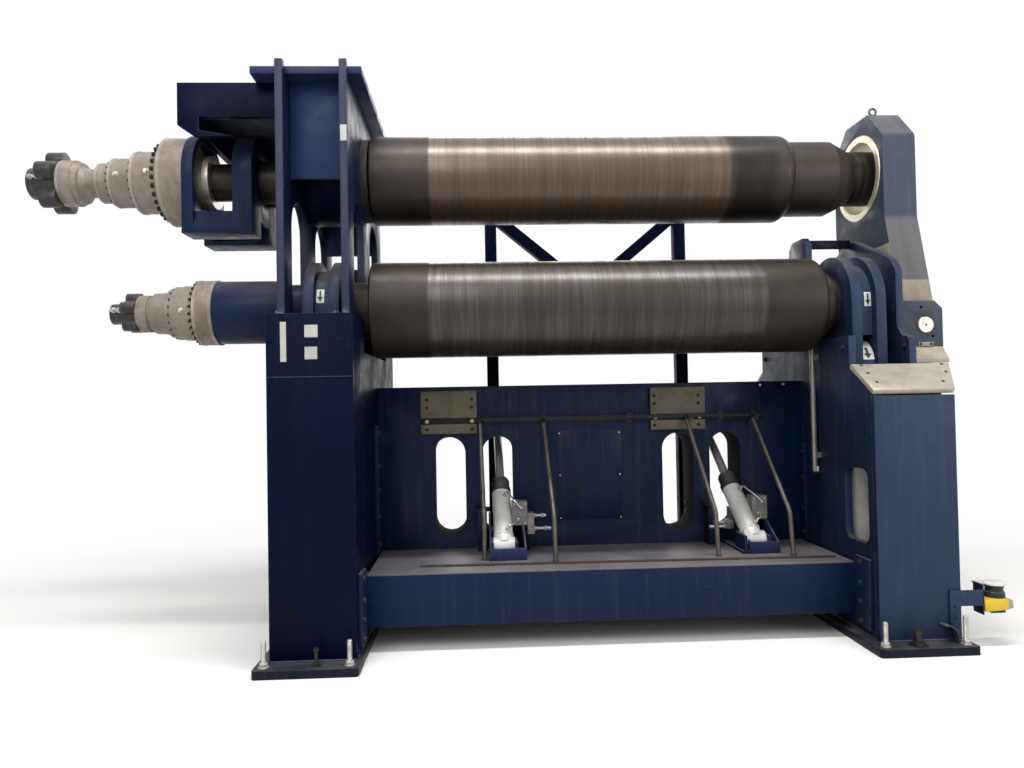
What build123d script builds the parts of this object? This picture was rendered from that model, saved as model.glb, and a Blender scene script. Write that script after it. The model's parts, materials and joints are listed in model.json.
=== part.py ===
from build123d import *
import os
from math import atan2, cos, hypot, pi, sin

os.makedirs("parts", exist_ok=True)

# A plate rolling machine with one top roll and two side rolls. Sizes are in millimetres.
# X runs along the rolls, Y from front to rear, Z up. The origin is on the floor,
# midway between the two columns and straight under the axis of the top roll.

# Columns and base plates
clear_width = 3250  # between the facing edges of the two columns
column_width = 525
column_half_depth = 1070
left_column_height = 2165
cover_thickness = 40
base_thickness = 52
base_width = 628
base_half_depth = 1210
base_shift = -20
base_corner = 25
anchor_hole_radius = 20
anchor_inset = 60

# Frame plates
plate_thickness = 50
frame_width = 465  # over the two plates of one frame
tall_half_depth = 800
tall_rise = 507  # from the axis of the top roll to the top of the tall plates
lug_height = 75
lug_depth = 60
foot_fillet = 80
slot_clearance = 21  # beside the necks of the side rolls
slot_low_reach = 305  # below the axis of the front roll
slot_arch_drop = 478  # from the axis of the top roll to the centre of the arch
front_panel_gap = 535  # over the front arms at rest, which leaves them their lift
rear_panel_gap = 155  # over the rear arms
cross_panel_offset = 600
cross_panel_thickness = 40
cap_thickness = 50
cap_left_reach = 176
cap_right_reach = 88

# Rolls
top_roll_height = 3278
top_roll_radius = 325
top_roll_left_gap = 59  # from the left frame to the barrel
top_roll_step_radius = 280
top_roll_step_length = 323
top_roll_cone_length = 150
top_journal_radius = 205
top_journal_length = 210
journal_engagement = 85  # into the drop end
tail_journal_radius = 220
tail_collar_radius = 157
tail_shaft_radius = 137
tail_shaft_gap = 8  # from the end of the shaft to the gearbox
side_roll_radius = 335
side_roll_offset = 370
side_roll_height = 2255
side_roll_left_gap = 40  # from the column to the barrel
side_roll_right_gap = 68
side_journal_right_radius = 240
side_neck_radius = 200
side_shaft_radius = 110
rear_roll_raise = 80
running_clearance = 0.4
roll_edge = 12
top_roll_round = 85  # at the right end of the barrel
side_roll_round = 55
round_steps = 6
seal_radius = 305  # ring on the left frame beside the top roll
seal_gap = 9

# Arms that carry the side rolls
arm_width = 240
arm_flange = 70
arm_radius = 340
arm_recess = 60
arm_drop = 615  # side roll axis down to the foot of the arm
web_drop = 243
left_arm_gap = 35  # from the inner plate to the arm
right_arm_gap = 10
side_gap = 5

# Lift cylinders in the columns
lift_offset = 490
eye_radius = 200
eye_drop = 460  # side roll axis down to the eye pin
eye_width = 92
eye_pin_radius = 60
lift_barrel_radius = 125
lift_barrel_top = 1560
lift_rod_radius = 90
lift_rod_drop = 1355  # side roll axis down to the foot of the rod
lift_rod_gap = 10  # under the foot of the arm
bore_bottom = 860
barrel_clearance = 0.8

# Right frame
right_shoulder = 2000
upper_half_depth = 770
pad_low = 1620  # underside of the sloped pad at the cover
pad_high = 1780
pad_thickness = 32
pad_rear_flare = 150
tongue_half_depth = 150
tongue_drop = 478  # heights of the right plates, down from the axis of the top roll
gable_half_depth = 628
gable_knee_drop = 808
gable_corner_drop = 718
gable_apex_drop = 503
gable_fillet = 90
shoulder_fillet = 50
window_size = (303, 480)
window_corner = 70
tie_height = 64
tie_half_depth = 18

# Drop end
pivot_reach = 276  # from the right frame to the pin
pivot_height = 2097
pivot_pin_radius = 58
pin_clearance = 0.6
ear_thickness = 50
ear_rise = 175
ear_reach = 130  # beyond the pin
ear_fall = 240
ear_root_fall = 400
ear_chamfer = 57
yoke_gap = 30  # from the right frame to the yoke
yoke_thickness = 245
yoke_half_depth = 370
yoke_rise = 444  # above the roll axis
yoke_shoulder_rise = 225
yoke_corner = 60
yoke_top_half_depth = 163
yoke_knee_drop = 378
yoke_foot_radius = 128
yoke_ear_gap = 8
ring_outer_radius = 327
ring_inner_radius = 270

# Drives: each step's distance from the mounting flange outwards, with its radius
lantern_flange_radius = 335
top_drive_reach = 782  # from the left frame to the flange of the gearbox
top_gear_steps = ((0, 320), (184, 320), (184, 290), (208, 290), (208, 232), (240, 232), (240, 226),
                  (413, 226), (413, 182), (588, 178), (588, 150), (694, 144), (694, 104), (790, 104),
                  (822, 122), (822, 150), (861, 158), (861, 168), (962, 168))
side_drive_reach = 495
side_gear_steps = ((0, 224), (128, 224), (128, 206), (150, 206), (150, 190), (234, 190), (234, 184),
                   (290, 184), (290, 168), (330, 168), (330, 146), (440, 140), (440, 118), (470, 118),
                   (470, 128), (542, 128))
top_motor_length = 235
side_motor_length = 194
motor_body_share = 0.5  # of the length; the rest is the distributor
distributor_share = 0.5  # of the radius
lantern_tube_radius = 218
lantern_tube_gap = 30  # from the left frame to the tube
lantern_tube_wall = 40
lantern_neck_radius = 190

# Middle of the machine
beam_offset = 806
beam_bottom = 164
beam_top = 493
beam_wall = 40
beam_flange = 160
deck_thickness = 12
deck_end_gap = 30
panel_front = -20
panel_depth = 300
panel_top = 1718
panel_wall = 30
window_pair_centres = (-903, 830)
window_pair_spacing = 365
panel_window_width = 236
panel_window_drop = 380
panel_window_height = 738
liner_wall = 20
panel_pad_size = (419, 320)
panel_pad_centres = (-1086, 650)
panel_pad_drop = 193
panel_pad_thickness = 30
pad_groove = 40

# Bearing housing, tail bracket and open cradle of the top drive
plate_bore_gap = 20
housing_radius = 330
tail_journal_inset = 10
tail_reach = 700
tail_half_depth = 600
tail_plate = 44
tail_web = 50
tail_depth = 361
tail_chamfer_height = 76
tail_chamfer_length = 110
tail_lip = 40
tail_lip_gap = 327
tail_leg = 144
tail_notch_depth = 233
lantern_disc_bore = 285
lantern_disc_thickness = 80
lantern_plate_reach = 428
lantern_plate_width = 138
lantern_half = 330
trough_lip = -280  # heights of the side beams from the axis of the top roll
trough_side = -389
trough_floor = -448
trough_lean = 50  # of the lip towards the middle
trough_inner = 105
trough_wall = 30
link_range = (250, 310)  # behind the collar of the top roll
link_half_height = 110
shrink_disc_gap = 15
shrink_ring_widths = (69, 7, 44)
shrink_groove = 14
shrink_disc_radius = 195
side_shaft_gap = 7
top_motor_radius = 232
side_motor_radius = 143
motor_heads = 5
motor_head_share = 0.3

# Smaller pieces
shoulder_length = 80
shoulder_rise = 75
gable_corner_depth = 555
tongue_chamfer = 55
window_centre = (816, 880)
pad_overhang = 32
pin_proud = 12
pin_chamfer = 4
ring_proud = 4
ring_chamfer = 6
rail_start = -876
rail_end = 1283
rail_drop = 263  # below the top of the panel
rail_size = 16
rail_depth = 50
rail_clips = ((-379, 0), (742, panel_pad_thickness), (1240, 0))  # x and packing behind each
clip_half = 22
guard_rod_radius = 16
guard_knee_run = 40
guard_knee_height = 800
guard_knee_radius = 120
guard_foot_radius = 26
guard_foot_thickness = 6
guard_rod_places = ((-855, -838, -460), (-382, -357, -590), (703, 780, -540), (1209, 1284, -595))
support_places = ((-700, -715), (1075, 975))  # x of the foot and of the head
support_foot_y = -410
support_foot_z = 590
support_head_y = 420
support_head_z = 1400
support_barrel_radius = 68
support_barrel_length = 470
support_cap_radius = 60
support_cap_length = 40
support_rod_radius = 32
support_eye_radius = 60
cradle_half = 110
cradle_base = 18
cradle_front = 90
cradle_rear = 100
cradle_cheek_inner = 74
cradle_cheek = 20
cradle_head = 40
seat_gap = 0.3
manifold_gap = 0.6  # beside the leaning barrel
manifold_y = -205
manifold_width = 110
manifold_depth = 120
manifold_height = 170
rear_frame_top = 3280
rear_post_places = (-732, 927)
post_size = 100
bracket_half = 50
brace_width = 148
brace_run = 700
brace_low = 2600
rod_low = 1050
rod_high = 2000
rod_offset = 40
rod_y = -300
rod_radius = 20
rod_clip_inset = 120
scanner_plate = 12
scanner_arm = 110
scanner_bracket_depth = 60
scanner_bracket_low = 110
scanner_bracket_height = 258
scanner_arm_height = 60
scanner_low = 225
scanner_radius = 75
scanner_corner = 25
scanner_head_radius = 67.5
scanner_body = 75
scanner_head = 95


def yz_plane(x):
    return Plane.YZ.offset(x)


def xz_plane(y):
    return Plane.XZ.offset(-y)


def mirrored(points):
    return points + [(-across, up) for across, up in reversed(points)]


def slab(x_range, y_range, z_range, mode=Mode.ADD):
    ranges = (x_range, y_range, z_range)
    spans = [high - low for low, high in ranges]
    with Locations(tuple((low + high) / 2 for low, high in ranges)):
        Box(*spans, mode=mode)


def turned(steps, y, z, mode=Mode.ADD):
    # A body of revolution about a line along X, from a list of (x, radius)
    with BuildSketch(Plane((0, y, z), x_dir=(1, 0, 0), z_dir=(0, -1, 0))) as profile:
        Polygon((steps[0][0], 0), *steps, (steps[-1][0], 0), align=None)
    revolve(profile.sketch, axis=Axis((0, y, z), (1, 0, 0)), mode=mode)


def rounded_end(x_end, radius, edge):
    # Profile points of a barrel's right end, rounded over by a quarter circle
    turns = [quarter * pi / 2 / round_steps for quarter in range(round_steps + 1)]
    return [(x_end - edge + edge * sin(turn), radius - edge + edge * cos(turn)) for turn in turns]


def ring(x_start, x_end, y, z, radius, bore):
    with BuildSketch(yz_plane(x_start)) as section:
        with Locations((y, z)):
            Circle(radius)
            Circle(bore, mode=Mode.SUBTRACT)
    extrude(section.sketch, amount=x_end - x_start)


def profile_plate(points, x_start, thickness, mode=Mode.ADD):
    # A plate across the rolls, from its outline in Y and Z
    with BuildSketch(yz_plane(x_start)) as section:
        Polygon(*points, align=None)
    extrude(section.sketch, amount=thickness, mode=mode)


def save(piece, label):
    piece.part.label = label
    export_step(piece.part, f"parts/{label}.step")


half_clear = clear_width / 2
column_outer = half_clear + column_width
left_outer_inside = -column_outer + plate_thickness
left_inner_face = -column_outer + frame_width
left_inner_start = left_inner_face - plate_thickness
right_inner_outside = half_clear + plate_thickness
right_outer_face = half_clear + frame_width
right_outer_start = right_outer_face - plate_thickness
side_depth = column_half_depth - cover_thickness
tall_height = top_roll_height + tall_rise
tongue_top = top_roll_height - tongue_drop
gable_knee = top_roll_height - gable_knee_drop
gable_corner = top_roll_height - gable_corner_drop
gable_apex = top_roll_height - gable_apex_drop
side_sign = {"front": -1, "rear": 1}
roll_y = {side: sign * side_roll_offset for side, sign in side_sign.items()}
roll_z = {"front": side_roll_height, "rear": side_roll_height + rear_roll_raise}
slot_half_width = side_neck_radius + slot_clearance
slot_bottom = side_roll_height - slot_low_reach
slot_arch_height = top_roll_height - slot_arch_drop
left_arm_start = left_inner_start - left_arm_gap - arm_width
right_arm_start = right_inner_outside + right_arm_gap
yoke_inner_face = right_outer_face + yoke_gap
pivot_x = right_outer_face + pivot_reach
pad_fall = (pad_high - pad_low) / (side_depth - upper_half_depth)  # slope of the pads

# Base plates with four anchor holes each
for label, sign in (("left_base_plate", -1), ("right_base_plate", 1)):
    base_x = sign * (half_clear + column_width / 2) + base_shift
    with BuildPart() as base_plate:
        with BuildSketch():
            with Locations((base_x, 0)):
                RectangleRounded(base_width, 2 * base_half_depth, base_corner)
        extrude(amount=base_thickness)
        with Locations((base_x, 0, base_thickness)):
            with GridLocations(base_width - 2 * anchor_inset, 2 * (base_half_depth - anchor_inset), 2, 2):
                Hole(anchor_hole_radius)
    save(base_plate, label)

# Left frame: two tall plates, slotted for the side rolls and bored for the top roll
tall_outline = mirrored([
    (-side_depth, base_thickness),
    (-side_depth, left_column_height),
    (-tall_half_depth, left_column_height),
    (-tall_half_depth, tall_height + lug_height),
    (-tall_half_depth + lug_depth, tall_height + lug_height),
    (-tall_half_depth + lug_depth, tall_height),
])
for label, x_start in (("left_outer_plate", -column_outer), ("left_inner_plate", left_inner_start)):
    with BuildPart() as tall_plate:
        with BuildSketch(yz_plane(x_start)) as tall_sketch:
            Polygon(*tall_outline, align=None)
            fillet([corner for corner in tall_sketch.vertices()
                    if abs(abs(corner.X) - tall_half_depth) < 1 and abs(corner.Y - left_column_height) < 1],
                   foot_fillet)
            for y in roll_y.values():
                with Locations((y, slot_arch_height)):
                    Circle(slot_half_width, mode=Mode.SUBTRACT)
                with Locations((y, (slot_bottom + slot_arch_height) / 2)):
                    Rectangle(2 * slot_half_width, slot_arch_height - slot_bottom, mode=Mode.SUBTRACT)
            with Locations((0, top_roll_height)):
                Circle(tail_journal_radius + plate_bore_gap, mode=Mode.SUBTRACT)
        extrude(amount=plate_thickness)
    save(tall_plate, label)

# Inner side of the lower left column, notched where the side roll necks pass
with BuildPart() as left_side_plate:
    slab((left_inner_face, -half_clear), (-side_depth, side_depth), (base_thickness, left_column_height))
    for y in roll_y.values():
        slab((left_inner_face, -half_clear), (y - slot_half_width, y + slot_half_width),
             (slot_bottom, left_column_height), mode=Mode.SUBTRACT)
save(left_side_plate, "left_side_plate")

with BuildPart() as left_covers:
    for sign in side_sign.values():
        depth_range = sorted((sign * side_depth, sign * column_half_depth))
        slab((-column_outer, -half_clear), depth_range, (base_thickness, left_column_height))
save(left_covers, "left_covers")

with BuildPart() as left_cross_panels:
    for side, gap in (("front", front_panel_gap), ("rear", rear_panel_gap)):
        depth_range = sorted(side_sign[side] * depth
                             for depth in (cross_panel_offset, cross_panel_offset - cross_panel_thickness))
        panel_low = roll_z[side] + arm_radius + gap
        slab((left_outer_inside, left_inner_start), depth_range, (panel_low, tall_height))
save(left_cross_panels, "left_cross_panels")

with BuildPart() as left_top_cap:
    slab((-column_outer - cap_left_reach, left_inner_face + cap_right_reach),
         (-tall_half_depth + lug_depth, tall_half_depth - lug_depth),
         (tall_height, tall_height + cap_thickness))
save(left_top_cap, "left_top_cap")

with BuildPart() as top_bearing_housing:
    ring(left_outer_inside, left_inner_start, 0, top_roll_height, housing_radius,
         tail_journal_radius + running_clearance)
save(top_bearing_housing, "top_bearing_housing")

with BuildPart() as top_seal_ring:
    ring(left_inner_face, left_inner_face + top_roll_left_gap - seal_gap, 0, top_roll_height, seal_radius,
         tail_journal_radius + running_clearance)
save(top_seal_ring, "top_seal_ring")

# Bracket over the tail of the top roll: a top plate, two C-shaped webs and an end plate
tail_end = -column_outer - tail_reach
tail_bottom = tall_height - tail_depth
tail_notch_top = tall_height - tail_notch_depth
tail_lip_end = -column_outer - tail_lip_gap
with BuildPart() as tail_bracket:
    slab((tail_end, -column_outer), (-tail_half_depth, tail_half_depth),
         (tall_height - tail_plate, tall_height))
    for sign in side_sign.values():
        with BuildSketch(xz_plane(sign * tail_half_depth)) as web:
            Polygon((tail_end, tall_height - tail_plate), (tail_end, tail_bottom + tail_chamfer_height),
                    (tail_end + tail_chamfer_length, tail_bottom), (tail_lip_end, tail_bottom),
                    (tail_end + tail_leg, tail_bottom + tail_lip),
                    (tail_end + tail_leg, tail_notch_top), (-column_outer, tail_notch_top),
                    (-column_outer, tall_height - tail_plate), align=None)
        extrude(web.sketch, amount=sign * tail_web)
    slab((tail_end, tail_end + tail_web), (-tail_half_depth, tail_half_depth),
         (tail_notch_top, tall_height - tail_plate))
save(tail_bracket, "tail_bracket")

# Right frame: the inner plate is a tongue between open notches, the outer one has a gable
right_foot = [
    (-side_depth, base_thickness),
    (-side_depth, pad_low),
    (-upper_half_depth, pad_high),
    (-upper_half_depth, right_shoulder),
]
with BuildPart() as right_inner_plate:
    tongue = right_foot + [
        (-tongue_half_depth, right_shoulder),
        (-tongue_half_depth, tongue_top - tongue_chamfer),
        (-tongue_half_depth + tongue_chamfer, tongue_top),
    ]
    profile_plate(mirrored(tongue), half_clear, plate_thickness)
    window_y, window_z = window_centre
    with BuildSketch(yz_plane(half_clear)) as windows:
        for sign in side_sign.values():
            with Locations((sign * window_y, window_z)):
                RectangleRounded(*window_size, window_corner)
    extrude(windows.sketch, amount=plate_thickness, mode=Mode.SUBTRACT)
save(right_inner_plate, "right_inner_plate")

with BuildPart() as right_outer_plate:
    gable = right_foot + [
        (-upper_half_depth + shoulder_length, right_shoulder),
        (-gable_half_depth, right_shoulder + shoulder_rise),
        (-gable_half_depth, gable_knee),
        (-gable_corner_depth, gable_corner),
        (-tongue_half_depth / 2, gable_apex),
    ]
    with BuildSketch(yz_plane(right_outer_start)) as gable_sketch:
        Polygon(*mirrored(gable), align=None)
        fillet([corner for corner in gable_sketch.vertices() if abs(corner.Y - gable_knee) < 1
                or abs(corner.Y - gable_corner) < 1],
               gable_fillet)
        fillet([corner for corner in gable_sketch.vertices() if abs(corner.Y - right_shoulder) < 1
                or abs(corner.Y - right_shoulder - shoulder_rise) < 1], shoulder_fillet)
    extrude(amount=plate_thickness)
save(right_outer_plate, "right_outer_plate")

with BuildPart() as right_covers:
    for sign in side_sign.values():
        depth_range = sorted((sign * side_depth, sign * column_half_depth))
        slab((half_clear, column_outer), depth_range,
             (base_thickness, pad_low - pad_fall * cover_thickness))
save(right_covers, "right_covers")

# Sloped machined pads on the shoulders of the right column
pad_slope = atan2(pad_high - pad_low, side_depth - upper_half_depth)
pad_length = hypot(pad_high - pad_low, side_depth - upper_half_depth) + pad_overhang
with BuildPart() as right_pads:
    for sign in side_sign.values():
        foot = Vector(half_clear, sign * upper_half_depth, pad_high)
        down = Vector(0, sign * cos(pad_slope), -sin(pad_slope))
        plane = Plane(foot, x_dir=(1, 0, 0), z_dir=(0, sign * sin(pad_slope), cos(pad_slope)))
        run = plane.to_local_coords(foot + down * pad_length).Y
        with BuildSketch(plane) as pad_sketch:
            Polygon((0, 0), (column_width + pad_rear_flare, 0), (column_width, run), (0, run), align=None)
        extrude(pad_sketch.sketch, amount=pad_thickness)
save(right_pads, "right_pads")

with BuildPart() as right_tie_bar:
    slab((right_inner_outside, right_outer_start), (-tie_half_depth, tie_half_depth),
         (tongue_top - tie_height, tongue_top))
save(right_tie_bar, "right_tie_bar")

# Ears outside the right frame that hold the pin of the drop end
ear_end = pivot_x + ear_reach
ear_top = pivot_height + ear_rise
with BuildPart() as pivot_ears:
    for sign in side_sign.values():
        ear_inner = sign * (yoke_half_depth + yoke_ear_gap)
        with BuildSketch(xz_plane(ear_inner)) as ear:
            Polygon((right_outer_face, pivot_height - ear_root_fall), (ear_end, pivot_height - ear_fall),
                    (ear_end, ear_top - ear_chamfer), (ear_end - ear_chamfer, ear_top),
                    (right_outer_face, ear_top), align=None)
            with Locations((pivot_x, pivot_height)):
                Circle(pivot_pin_radius + running_clearance, mode=Mode.SUBTRACT)
        extrude(ear.sketch, amount=-sign * ear_thickness)
save(pivot_ears, "pivot_ears")

pin_half = yoke_half_depth + yoke_ear_gap + ear_thickness + pin_proud
with BuildPart() as pivot_pin:
    with BuildSketch(xz_plane(-pin_half)):
        with Locations((pivot_x, pivot_height)):
            Circle(pivot_pin_radius)
    extrude(amount=-2 * pin_half)
    chamfer(pivot_pin.edges().filter_by(GeomType.CIRCLE), pin_chamfer)
save(pivot_pin, "pivot_pin")

# Drop end: a thick cranked plate, bored for the bearing ring and for its pivot
yoke_outer_face = yoke_inner_face + yoke_thickness
yoke_top = top_roll_height + yoke_rise
yoke_shoulder = top_roll_height + yoke_shoulder_rise
yoke_knee = top_roll_height - yoke_knee_drop
with BuildPart() as drop_end_yoke:
    with BuildSketch(xz_plane(yoke_half_depth)) as crank:
        Polygon((yoke_inner_face, yoke_top), (yoke_outer_face, yoke_top), (yoke_outer_face, yoke_knee),
                (pivot_x + yoke_foot_radius, pivot_height), (pivot_x - yoke_foot_radius, pivot_height),
                (yoke_inner_face, yoke_knee), align=None)
        with Locations((pivot_x, pivot_height)):
            Circle(yoke_foot_radius)
    extrude(crank.sketch, amount=2 * yoke_half_depth)
    head = mirrored([
        (-yoke_half_depth, pivot_height - yoke_foot_radius),
        (-yoke_half_depth, yoke_shoulder),
        (-yoke_top_half_depth, yoke_top),
    ])
    with BuildSketch(yz_plane(yoke_inner_face)) as head_sketch:
        Polygon(*head, align=None)
        fillet([corner for corner in head_sketch.vertices() if abs(corner.Y - yoke_shoulder) < 1],
               yoke_corner)
    extrude(head_sketch.sketch, amount=pivot_x + yoke_foot_radius - yoke_inner_face, mode=Mode.INTERSECT)
    with BuildSketch(yz_plane(yoke_inner_face)) as bore:
        with Locations((0, top_roll_height)):
            Circle(ring_outer_radius + running_clearance)
    extrude(bore.sketch, amount=yoke_thickness, mode=Mode.SUBTRACT)
    with BuildSketch(xz_plane(yoke_half_depth)) as pin_bore:
        with Locations((pivot_x, pivot_height)):
            Circle(pivot_pin_radius + pin_clearance)
    extrude(pin_bore.sketch, amount=2 * yoke_half_depth, mode=Mode.SUBTRACT)
save(drop_end_yoke, "drop_end_yoke")

with BuildPart() as yoke_bearing_ring:
    ring(yoke_inner_face - ring_proud, yoke_outer_face, 0, top_roll_height, ring_outer_radius,
         ring_inner_radius)
    chamfer(yoke_bearing_ring.edges().filter_by(GeomType.CIRCLE).group_by(Axis.X)[0], ring_chamfer)
save(yoke_bearing_ring, "yoke_bearing_ring")

# Top roll: shaft, journal, barrel, step, cone and the journal that enters the drop end
top_flange = -column_outer - top_drive_reach
top_journal_end = yoke_inner_face + journal_engagement
top_roll_cone_end = top_journal_end - top_journal_length
top_roll_step_end = top_roll_cone_end - top_roll_cone_length
top_roll_full_end = top_roll_step_end - top_roll_step_length
top_roll_left = left_inner_face + top_roll_left_gap
lantern_plate_start = -column_outer - lantern_plate_reach
with BuildPart() as top_roll:
    turned([
        (top_flange + tail_shaft_gap, tail_shaft_radius),
        (lantern_plate_start, tail_shaft_radius),
        (lantern_plate_start, tail_collar_radius),
        (-column_outer + tail_journal_inset, tail_collar_radius),
        (-column_outer + tail_journal_inset, tail_journal_radius),
        (top_roll_left, tail_journal_radius),
        (top_roll_left, top_roll_radius - roll_edge),
        (top_roll_left + roll_edge, top_roll_radius),
        *rounded_end(top_roll_full_end, top_roll_radius, top_roll_round)[:-2],
        (top_roll_full_end, top_roll_step_radius),
        (top_roll_step_end, top_roll_step_radius),
        (top_roll_cone_end, top_journal_radius),
        (top_journal_end - roll_edge, top_journal_radius),
        (top_journal_end, top_journal_radius - roll_edge),
    ], 0, top_roll_height)
save(top_roll, "top_roll")

with BuildPart() as shrink_disc:
    ring_start = top_flange + shrink_disc_gap
    for width, radius in zip(shrink_ring_widths, (shrink_disc_radius, shrink_disc_radius - shrink_groove,
                                                  shrink_disc_radius)):
        ring(ring_start, ring_start + width, 0, top_roll_height, radius,
             tail_shaft_radius + running_clearance)
        ring_start += width
save(shrink_disc, "shrink_disc")

# The two side rolls with their arms, lift cylinders and drives
side_flange = -column_outer - side_drive_reach
side_roll_left = -half_clear + side_roll_left_gap
side_roll_right = half_clear - side_roll_right_gap
lantern_tube_end = -column_outer - lantern_tube_gap


def side_roll(y, z):
    turned([
        (side_flange + side_shaft_gap, side_shaft_radius),
        (left_arm_start, side_shaft_radius),
        (left_arm_start, side_neck_radius),
        (side_roll_left, side_neck_radius),
        (side_roll_left, side_roll_radius - roll_edge),
        (side_roll_left + roll_edge, side_roll_radius),
        *rounded_end(side_roll_right, side_roll_radius, side_roll_round),
        (side_roll_right, side_journal_right_radius),
        (half_clear - side_gap, side_journal_right_radius),
        (half_clear - side_gap, side_neck_radius),
        (right_arm_start + arm_width - roll_edge, side_neck_radius),
    ], y, z)


def side_arm(x_start, y, z, outward):
    # Two rounded flanges with a web set back between them, and a fork at the foot for the eye
    for x, width, radius, drop in (
            (x_start, arm_flange, arm_radius, arm_drop),
            (x_start + arm_flange, arm_width - 2 * arm_flange, arm_radius - arm_recess, web_drop),
            (x_start + arm_width - arm_flange, arm_flange, arm_radius, arm_drop)):
        with BuildSketch(yz_plane(x)) as flange:
            with Locations((y, z)):
                Circle(radius)
            with Locations((y, z - radius / 2)):
                Rectangle(2 * radius, radius)
            with Locations((y, z - arm_drop)):
                Rectangle(2 * radius, 2 * (arm_drop - radius / 2))
            with Locations((y, z - drop - arm_drop)):
                Rectangle(2 * radius, 2 * arm_drop, mode=Mode.SUBTRACT)
        extrude(flange.sketch, amount=width)
    with BuildSketch(yz_plane(x_start)) as holes:
        with Locations((y, z)):
            Circle(side_neck_radius + running_clearance)
        with Locations((outward * lift_offset, z - eye_drop)):
            Circle(eye_pin_radius + running_clearance)
    extrude(holes.sketch, amount=arm_width, mode=Mode.SUBTRACT)


def lift_rod(x_centre, y, z):
    # The rod with its large eye, and the pin through both flanges of the arm
    eye_z = z - eye_drop
    with BuildSketch(yz_plane(x_centre - eye_width / 2)) as eye:
        with Locations((y, eye_z)):
            Circle(eye_radius)
    extrude(eye.sketch, amount=eye_width)
    with BuildSketch(yz_plane(x_centre - arm_width / 2)) as pin:
        with Locations((y, eye_z)):
            Circle(eye_pin_radius)
    extrude(pin.sketch, amount=arm_width)
    with BuildSketch(Plane.XY.offset(z - lift_rod_drop)) as rod:
        with Locations((x_centre, y)):
            Circle(lift_rod_radius)
    extrude(rod.sketch, amount=lift_rod_drop - arm_drop - lift_rod_gap)


def lift_barrel(x_centre, y):
    with BuildSketch(Plane.XY.offset(base_thickness)) as wall:
        with Locations((x_centre, y)):
            Circle(lift_barrel_radius)
    extrude(wall.sketch, amount=lift_barrel_top - base_thickness)
    with BuildSketch(Plane.XY.offset(bore_bottom)) as inside:
        with Locations((x_centre, y)):
            Circle(lift_rod_radius + barrel_clearance)
    extrude(inside.sketch, amount=lift_barrel_top - bore_bottom, mode=Mode.SUBTRACT)


def lantern_tube(y, z):
    # Tube that carries the gearbox, with a neck through the slot of the outer plate to the arm
    ring(side_flange, lantern_tube_end, y, z, lantern_tube_radius, lantern_tube_radius - lantern_tube_wall)
    ring(lantern_tube_end - lantern_tube_wall, left_arm_start, y, z, lantern_neck_radius,
         lantern_neck_radius - lantern_tube_wall)


def drive_motor(x_end, length, radius, y, z):
    # Radial piston motor: a disc with five cylinder heads, and the round distributor behind it
    head_radius = radius * motor_head_share
    body_length = length * motor_body_share
    with BuildSketch(yz_plane(x_end - body_length)) as motor:
        with Locations((y, z)):
            Circle(radius - head_radius)
            with PolarLocations(radius - head_radius, motor_heads, start_angle=90):
                Circle(head_radius)
    extrude(motor.sketch, amount=body_length)
    with BuildSketch(yz_plane(x_end - length)) as distributor:
        with Locations((y, z)):
            Circle(radius * distributor_share)
    extrude(distributor.sketch, amount=length - body_length)


arm_centres = (left_arm_start + arm_width / 2, right_arm_start + arm_width / 2)
for side, sign in side_sign.items():
    y, z = roll_y[side], roll_z[side]
    with BuildPart() as roll:
        side_roll(y, z)
    save(roll, f"{side}_roll")
    for label, x_start in (("arm_left", left_arm_start), ("arm_right", right_arm_start)):
        with BuildPart() as arm:
            side_arm(x_start, y, z, sign)
        save(arm, f"{side}_{label}")
    with BuildPart() as rods:
        for x_centre in arm_centres:
            lift_rod(x_centre, sign * lift_offset, z)
    save(rods, f"{side}_lift_rods")
    with BuildPart() as barrels:
        for x_centre in arm_centres:
            lift_barrel(x_centre, sign * lift_offset)
    save(barrels, f"{side}_lift_barrels")
    with BuildPart() as lantern:
        lantern_tube(y, z)
    save(lantern, f"{side}_lantern")
    with BuildPart() as gearbox:
        turned([(side_flange - out, radius) for out, radius in side_gear_steps], y, z)
    save(gearbox, f"{side}_gearbox")
    with BuildPart() as motor:
        drive_motor(side_flange - side_gear_steps[-1][0], side_motor_length, side_motor_radius, y, z)
    save(motor, f"{side}_motor")

# Drive of the top roll, on an open cradle outside the left frame
lantern_disc_end = top_flange + lantern_disc_thickness
lantern_plate_end = lantern_plate_start + lantern_plate_width
side_beam = [
    (-trough_inner, trough_floor),
    (-lantern_half, trough_floor),
    (-lantern_half, trough_side),
    (-lantern_half + trough_lean, trough_lip),
    (-lantern_half + trough_lean + trough_wall, trough_lip),
    (-lantern_half + trough_wall, trough_side),
    (-lantern_half + trough_wall, trough_floor + trough_wall),
    (-trough_inner, trough_floor + trough_wall),
]


def foot(sign, x_start, length):
    # Block below a round flange, down to the floor of the side beams
    slab((x_start, x_start + length), sorted((sign * trough_inner, sign * lantern_half)),
         (top_roll_height + trough_floor, top_roll_height))


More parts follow.
